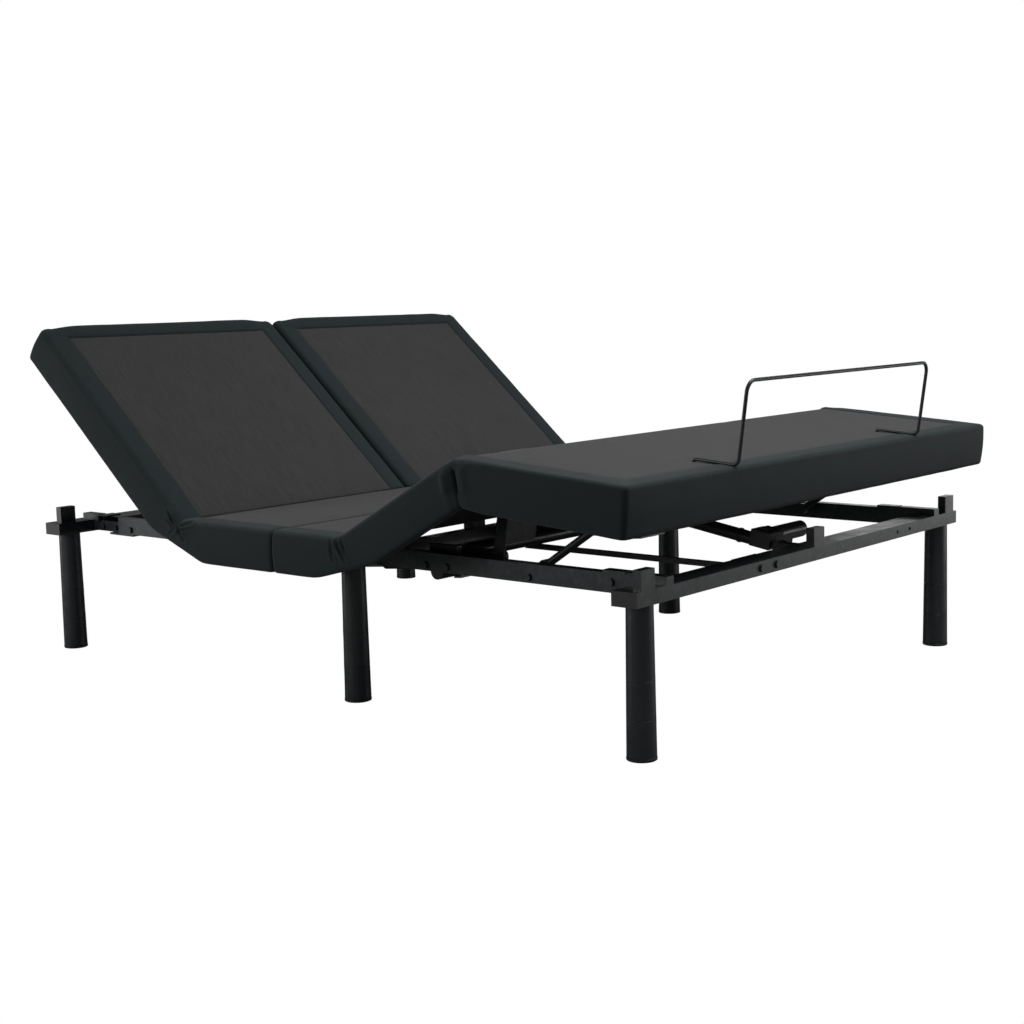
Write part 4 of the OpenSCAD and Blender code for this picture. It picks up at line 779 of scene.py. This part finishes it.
def grid_normals(grid):
    du = np.gradient(grid, axis=0)
    dv = np.gradient(grid, axis=1)
    n = np.cross(du, dv)
    length = np.linalg.norm(n, axis=2, keepdims=True)
    return n / np.maximum(length, 1e-9)


def crease(points, a, b, width, depth, ridge=0.45):
    """How far a fold line pushes the surface in: a valley along a-b with soft ridges beside."""
    d, t = segment_distance(points, np.asarray(a, float), np.asarray(b, float))
    taper = np.sin(np.pi * np.clip(t * 0.86 + 0.07, 0, 1)) ** 0.7
    valley = np.exp(-((d / width) ** 2))
    swell = ridge * np.exp(-(((d - 2.1 * width) / (1.1 * width)) ** 2))
    return depth * taper * (valley - swell)


WAVE_HEIGHT = 0.0009


def cloth_waves(points, seed):
    """Slow and quick waves of slack cloth."""
    slow, quick = vnoise(points, 9.0, seed), vnoise(points, 27.0, seed + 1)
    return WAVE_HEIGHT * (0.65 * slow + 0.35 * quick)


def outward(grid, out_hint):
    """Normals of a swept grid, turned so that they point away from the deck."""
    n = grid_normals(grid)
    middle = grid.shape[1] // 2
    if float((n[:, middle] * out_hint).sum(1).mean()) < 0:
        n = -n
    return n


def hinge_places(seat, sec, out):
    """Places on the outer side by a hinge: s is negative on the seat and positive past it."""
    def place(s, n, e=0.0):
        return (sec if s > 0 else seat).at(out * (HALF - e), abs(s), n)

    return place


def back_folds(out):
    """Gathered folds by a back hinge, and slack lines below them: from, to, width, depth."""
    p = hinge_places(SEAT_R, BACK, out)
    return [
        (p(0.050, 0.003, 0.010), p(0.004, -0.010), 0.0030, 0.0055),
        (p(0.046, -0.010), p(0.003, -0.017), 0.0030, 0.0060),
        (p(0.036, -0.026), p(0.001, -0.022), 0.0032, 0.0045),
        (p(-0.002, -0.010), p(-0.040, 0.001, 0.006), 0.0030, 0.0060),
        (p(-0.003, -0.018), p(-0.034, -0.012), 0.0028, 0.0050),
        (p(-0.001, -0.022), p(-0.016, -0.040), 0.0034, 0.0050),
        (p(0.001, -0.024), p(0.010, -0.046), 0.0034, 0.0045),
        (p(0.001, -0.012), p(-0.001, -0.026), 0.0045, 0.0060),
    ]


def thigh_folds(out):
    """Short slanting folds beside the thigh hinge: from, to, width, depth."""
    p = hinge_places(SEAT_F, THIGH, out)
    return [
        (p(-0.020, -0.006), p(-0.010, -0.046), 0.0036, 0.0050),
        (p(-0.004, -0.004), p(0.003, -0.048), 0.0036, 0.0058),
        (p(0.012, -0.003), p(0.014, -0.038), 0.0034, 0.0042),
        (p(0.002, 0.002, 0.012), p(0.000, -0.010), 0.0036, 0.0035),
    ]


def head_bulge(moved, points):
    """The padding that stands out at the head end of each back section, less near corners."""
    rel = moved - BACK.o
    from_end = BACK_L - rel @ BACK.s
    middle = (HALF + SPLIT) / 2
    across = np.abs(np.abs(moved[:, 0]) - middle) / (middle - SPLIT)
    full = 1 - smooth01((across - 0.72) / 0.24)
    on_back = rel @ BACK.s > 0.3
    up = 0.0065 * full * np.exp(-((from_end / 0.036) ** 2)) * on_back
    upper = smooth01((rel @ BACK.n + 0.050) / 0.045)
    outward_push = 0.0040 * full * np.exp(-((from_end / 0.010) ** 2)) * on_back
    return moved + np.outer(up * upper, BACK.n) + np.outer(outward_push * upper, BACK.s)


def shape_side(out_hint, folds, seed, extra=None):
    """What Band.mesh does to a swept grid: folds, waves, and extra's own push."""
    def shape(grid):
        points = grid.reshape(-1, 3)
        normals = outward(grid, out_hint).reshape(-1, 3)
        push = np.zeros(len(points))
        for a, b, width, depth in folds:
            push += crease(points, a, b, width, depth)
        moved = points + normals * (cloth_waves(points, seed) - push)[:, None]
        if extra is not None:
            moved = extra(moved, points)
        cols = grid.shape[1]
        fixed = np.tile(np.arange(cols) < FIXED_COLS, grid.shape[0])
        moved[fixed] = points[fixed]
        return moved.reshape(grid.shape)

    return shape


def hint_rows(band):
    """A direction away from the deck at each station of a band."""
    grid = np.array(band.rows)
    hint = grid[:, SIDE_COL] - grid[:, INNER_COL]
    return hint / np.linalg.norm(hint, axis=1, keepdims=True)


PINCH_IN = 0.045  # width of the side edge that the pinch reaches


def hump(u, centre, width):
    return np.exp(-(((u - centre) / width) ** 2))


def knee_pinch(moved, points):
    """A shallow pit with a narrow slot beside the knee, swellings by it, and a sunk top edge."""
    mid = middle_normal(THIGH, FOOT)
    along = FOOT.s - THIGH_BACK.s
    along /= np.linalg.norm(along)
    rel = points - K
    depth = -(rel @ mid)
    u = rel @ along
    fall = smooth01((depth - 0.008) / 0.020) * (1 - 0.8 * smooth01((depth - 0.052) / 0.022))
    pit, slot = 0.0036 * np.exp(-np.abs(u / 0.0120) ** 2.4), 0.014 * hump(u, 0.0, 0.0032)
    swell = 0.0075 * hump(u, -0.024, 0.010) + 0.0035 * hump(u, 0.024, 0.010)
    push = (pit + slot - swell) * fall
    for out in (-1, 1):
        near = np.abs(points[:, 0] - out * HALF) < PINCH_IN
        moved = moved - np.outer(np.where(near, push, 0.0), (out, 0, 0))
    at_edge = smooth01((np.abs(points[:, 0]) - (HALF - PINCH_IN)) / 0.025)
    near_top = 1 - smooth01((depth - 0.010) / 0.030)
    sink = 0.0028 * hump(u, 0.0, 0.020) * near_top * at_edge
    return moved - np.outer(sink, mid)


# ---------------------------------------------------------------- padded insets

SEAM = 0.0012  # between a border and its inset
HINGE_IN, CRACK_IN, KNEE_IN = 0.0040, 0.0050, 0.0030  # from a hinge or crack to an inset
ROLLED_EDGE = [(0.0, 0.0038), (0.0004, 0.0022), (0.0015, 0.0009), (0.0028, 0.0003)]
ROLL = 0.0042  # width of an inset's rolled edge, whose points are (in from the edge, down)
INSET_UNDER = 0.0043  # from the top of the deck to the underside of an inset
INSET_STEP = 0.013
DOME_POWER = 0.35
BACK_CROWN, SEAT_CROWN, THIGH_CROWN, FOOT_CROWN = 0.0022, 0.0018, 0.0016, 0.0006


def inset_axis(lo, hi):
    """Places across an inset, close together in its rolled edges."""
    lead = np.array([d for d, _ in ROLLED_EDGE])
    return np.concatenate([lo + lead, spread(lo + ROLL, hi - ROLL, INSET_STEP),
                           (hi - lead)[::-1]])


def round_end(gx, gs, x0, x1, s1, radius):
    """Draws the far corners of an inset's grid in to a radius."""
    middle, straight = (x0 + x1) / 2, (x1 - x0) / 2 - radius
    way = np.sign(gx - middle)
    dx = np.clip(np.abs(gx - middle) - straight, 0, None)
    ds = np.clip(gs - (s1 - radius), 0, None)
    pull = np.where((dx > 0) & (ds > 0),
                    np.maximum(dx, ds) / np.maximum(np.hypot(dx, ds), 1e-9), 1.0)
    return (np.where(dx > 0, middle + way * straight + way * dx * pull, gx),
            np.where(ds > 0, s1 - radius + ds * pull, gs))


def inset(name, body, sec, x0, x1, s0, s1, crown, seed, dents=(), end_r=0.0):
    """A padded panel let into the border: closed, with rolled edges and a slight crown."""
    gx, gs = np.meshgrid(inset_axis(x0, x1), inset_axis(s0, s1), indexing="ij")
    inset_by = np.minimum.reduce([gx - x0, x1 - gx, gs - s0, s1 - gs])
    if end_r:
        gx, gs = round_end(gx, gs, x0, x1, s1, end_r)
    height = np.interp(inset_by, [d for d, _ in ROLLED_EDGE] + [ROLL, 1.0],
                       [TOP - down for _, down in ROLLED_EDGE] + [TOP, TOP])
    u, v = (gx - x0) / (x1 - x0), (gs - s0) / (s1 - s0)
    dome = (np.clip(4 * u * (1 - u), 0, 1) ** DOME_POWER
            * np.clip(4 * v * (1 - v), 0, 1) ** DOME_POWER)
    base = (sec.o + np.multiply.outer(gx, np.array((1.0, 0, 0)))
            + np.multiply.outer(gs, sec.s))
    flat = base.reshape(-1, 3)
    slow = vnoise(flat, 5.0, seed).reshape(gx.shape)
    quick = vnoise(flat, 22.0, seed + 3).reshape(gx.shape)
    swell = crown * dome + 0.35 * crown * dome * slow + 0.0003 * quick
    height = height + swell * smooth01(inset_by / 0.03)
    for dent_x, dent_s, radius, depth in dents:
        d2 = ((gx - dent_x) ** 2 + (gs - dent_s) ** 2) / radius ** 2
        height = height - depth * np.exp(-d2)
    height = np.minimum(height, TOP + crown * 1.3)
    top = base + np.multiply.outer(height, sec.n)
    low = base + np.multiply.outer(np.full_like(height, TOP - INSET_UNDER), sec.n)
    verts = np.concatenate([top.reshape(-1, 3), low.reshape(-1, 3)])
    uv = np.tile(np.stack([gx, gs], -1).reshape(-1, 2), (2, 1))
    rows, cols = gx.shape
    under = rows * cols
    faces = [list(f) for f in grid_faces(rows, cols)]
    faces += [list(f) for f in grid_faces(rows, cols, under, True)]
    ring = [(i, 0) for i in range(rows - 1)] + [(rows - 1, j) for j in range(cols - 1)]
    ring += [(i, cols - 1) for i in range(rows - 1, 0, -1)]
    ring += [(0, j) for j in range(cols - 1, 0, -1)]
    ids = [i * cols + j for i, j in ring]
    faces += [[a, b, b + under, a + under] for a, b in zip(ids, ids[1:] + ids[:1])]
    obj = new_mesh(name, verts, faces, uv, INSET)
    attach(obj, body)


def lay_insets():
    for out, word in ((-1, "left"), (1, "right")):
        inner, outer = out * (SPLIT + E_GAP + SEAM), out * (HALF - E_BACK - SEAM)
        dents = [(out * 0.476, 0.313, 0.020, 0.0012), (out * 0.2, 0.36, 0.018, 0.0008)]
        inset("inset_back_" + word, "back_" + word, BACK, min(inner, outer), max(inner, outer),
              HINGE_IN, BACK_L - E_HEAD - SEAM, BACK_CROWN, 3 + out, dents)
    wide = HALF - E_SEAT - SEAM
    inset("inset_seat_rear", "root", SEAT_R, -wide, wide, HINGE_IN, CRACK_R - CRACK_IN,
          SEAT_CROWN, 11)
    inset("inset_seat_front", "root", SEAT_F, -wide, wide, HINGE_IN, CRACK_F - CRACK_IN,
          SEAT_CROWN, 12)
    inset("inset_thigh", "thigh", THIGH, -wide, wide, HINGE_IN, THIGH_L - KNEE_IN,
          THIGH_CROWN, 13)
    wide = HALF - E_FOOT - SEAM
    bar_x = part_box("retainer_bar")[1].x - 0.004
    # The retainer bar's feet press into the panel; the other dents are slack spots.
    dents = [(foot_x, FOOT_L - 0.104, 0.030, 0.0022) for foot_x in (-bar_x, bar_x)]
    dents += [(0.055, 0.312, 0.018, 0.0008), (0.220, 0.015, 0.016, 0.0008)]
    inset("inset_foot", "foot", FOOT, -wide, wide, KNEE_IN, FOOT_L - E_END - SEAM,
          FOOT_CROWN, 14, dents, FOOT_INSET_CORNER)


def border(name, band, folds, seed, extra=None):
    """One border piece, swept from a band and shaped by its folds, waves and extra push."""
    obj = band.mesh(name, shape_side(hint_rows(band), folds, seed, extra))
    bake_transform(obj)
    return obj


def lay_borders():
    """All borders; a shared seed keeps the waves unbroken across the seam in mid-thigh."""
    made = {}
    for out, word in ((-1, "left"), (1, "right")):
        back = "back_" + word
        made[back] = border("border_" + back, back_band(out), back_folds(out), 21,
                            head_bulge)
        made["thigh_" + word] = border("border_thigh_" + word, thigh_band(out),
                                       thigh_folds(out), 41)
    made["foot"] = border("border_foot", foot_band(), [], 41, knee_pinch)
    return made


borders = lay_borders()
lay_insets()
for word in ("left", "right"):
    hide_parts("back_cover_" + word)
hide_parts("seat_covers", "back_gussets")
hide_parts("foot_cover", "thigh_cover", "thigh_gussets")


# ---------------------------------------------------------------- studio

# name, place, target, width, height, watts
LIGHTS = (
    ("overhead", (0.4, -1.28, 2.7), (0.1, -0.95, 0.4), 2.2, 2.2, 72),
    ("right_strip", (2.6, -3.2, 0.45), (0.2, -0.9, 0.35), 3.0, 0.9, 4),
    ("left_fill", (-3.8, 1.4, 1.3), (0, 0, 0.4), 2.4, 1.6, 43),
)
# These give reflections only: no diffuse light, and the camera doesn't see them.
GLINTS = (
    ("metal_glint", (2.7, -2.8, 0.25), (0.3, -0.9, 0.3), 2.4, 0.7, 13),
    ("left_glint", (-2.2, 3.4, 0.6), (-0.6, -0.5, 0.2), 2.2, 1.2, 24),
    ("backdrop_glint", (4.6, 3.1, 0.9), (0.3, -0.5, 0.3), 5.0, 1.7, 40),
)
WORLD_FILL = 0.16
FLOOR_HALF = 30


def area(name, place, target, width, height, watts):
    data = bpy.data.lights.new(name, "AREA")
    data.shape = "RECTANGLE"
    data.size, data.size_y = width, height
    data.energy = watts
    light = bpy.data.objects.new(name, data)
    scene.collection.objects.link(light)
    light.location = place
    aim = Vector(target) - Vector(place)
    light.rotation_euler = aim.to_track_quat("-Z", "Y").to_euler()
    return light


def make_floor():
    mesh = bpy.data.meshes.new("studio_floor")
    f = FLOOR_HALF
    mesh.from_pydata([(-f, -f, 0), (f, -f, 0), (f, f, 0), (-f, f, 0)], [], [(0, 1, 2, 3)])
    floor = bpy.data.objects.new("studio_floor", mesh)
    mesh.materials.append(floor_material())
    scene.collection.objects.link(floor)


def make_world():
    """White to the camera, and a weak even fill for everything else."""
    world = bpy.data.worlds.new("studio")
    scene.world = world
    world.use_nodes = True
    nodes, links = world.node_tree.nodes, world.node_tree.links
    fill, seen = nodes["Background"], nodes.new("ShaderNodeBackground")
    for background, strength in ((fill, WORLD_FILL), (seen, 1.0)):
        background.inputs["Color"].default_value = WHITE
        background.inputs["Strength"].default_value = strength
    path = nodes.new("ShaderNodeLightPath")
    mix = nodes.new("ShaderNodeMixShader")
    links.new(path.outputs["Is Camera Ray"], mix.inputs[0])
    links.new(fill.outputs[0], mix.inputs[1])
    links.new(seen.outputs[0], mix.inputs[2])
    links.new(mix.outputs[0], nodes["World Output"].inputs["Surface"])


def make_studio():
    make_floor()
    make_world()
    for row in LIGHTS:
        area(*row)
    for row in GLINTS:
        glint = area(*row)
        glint.visible_diffuse = False
        glint.visible_camera = False
    scene.view_settings.view_transform = "Standard"
    scene.view_settings.look = "None"


make_studio()

bpy.context.view_layer.update()
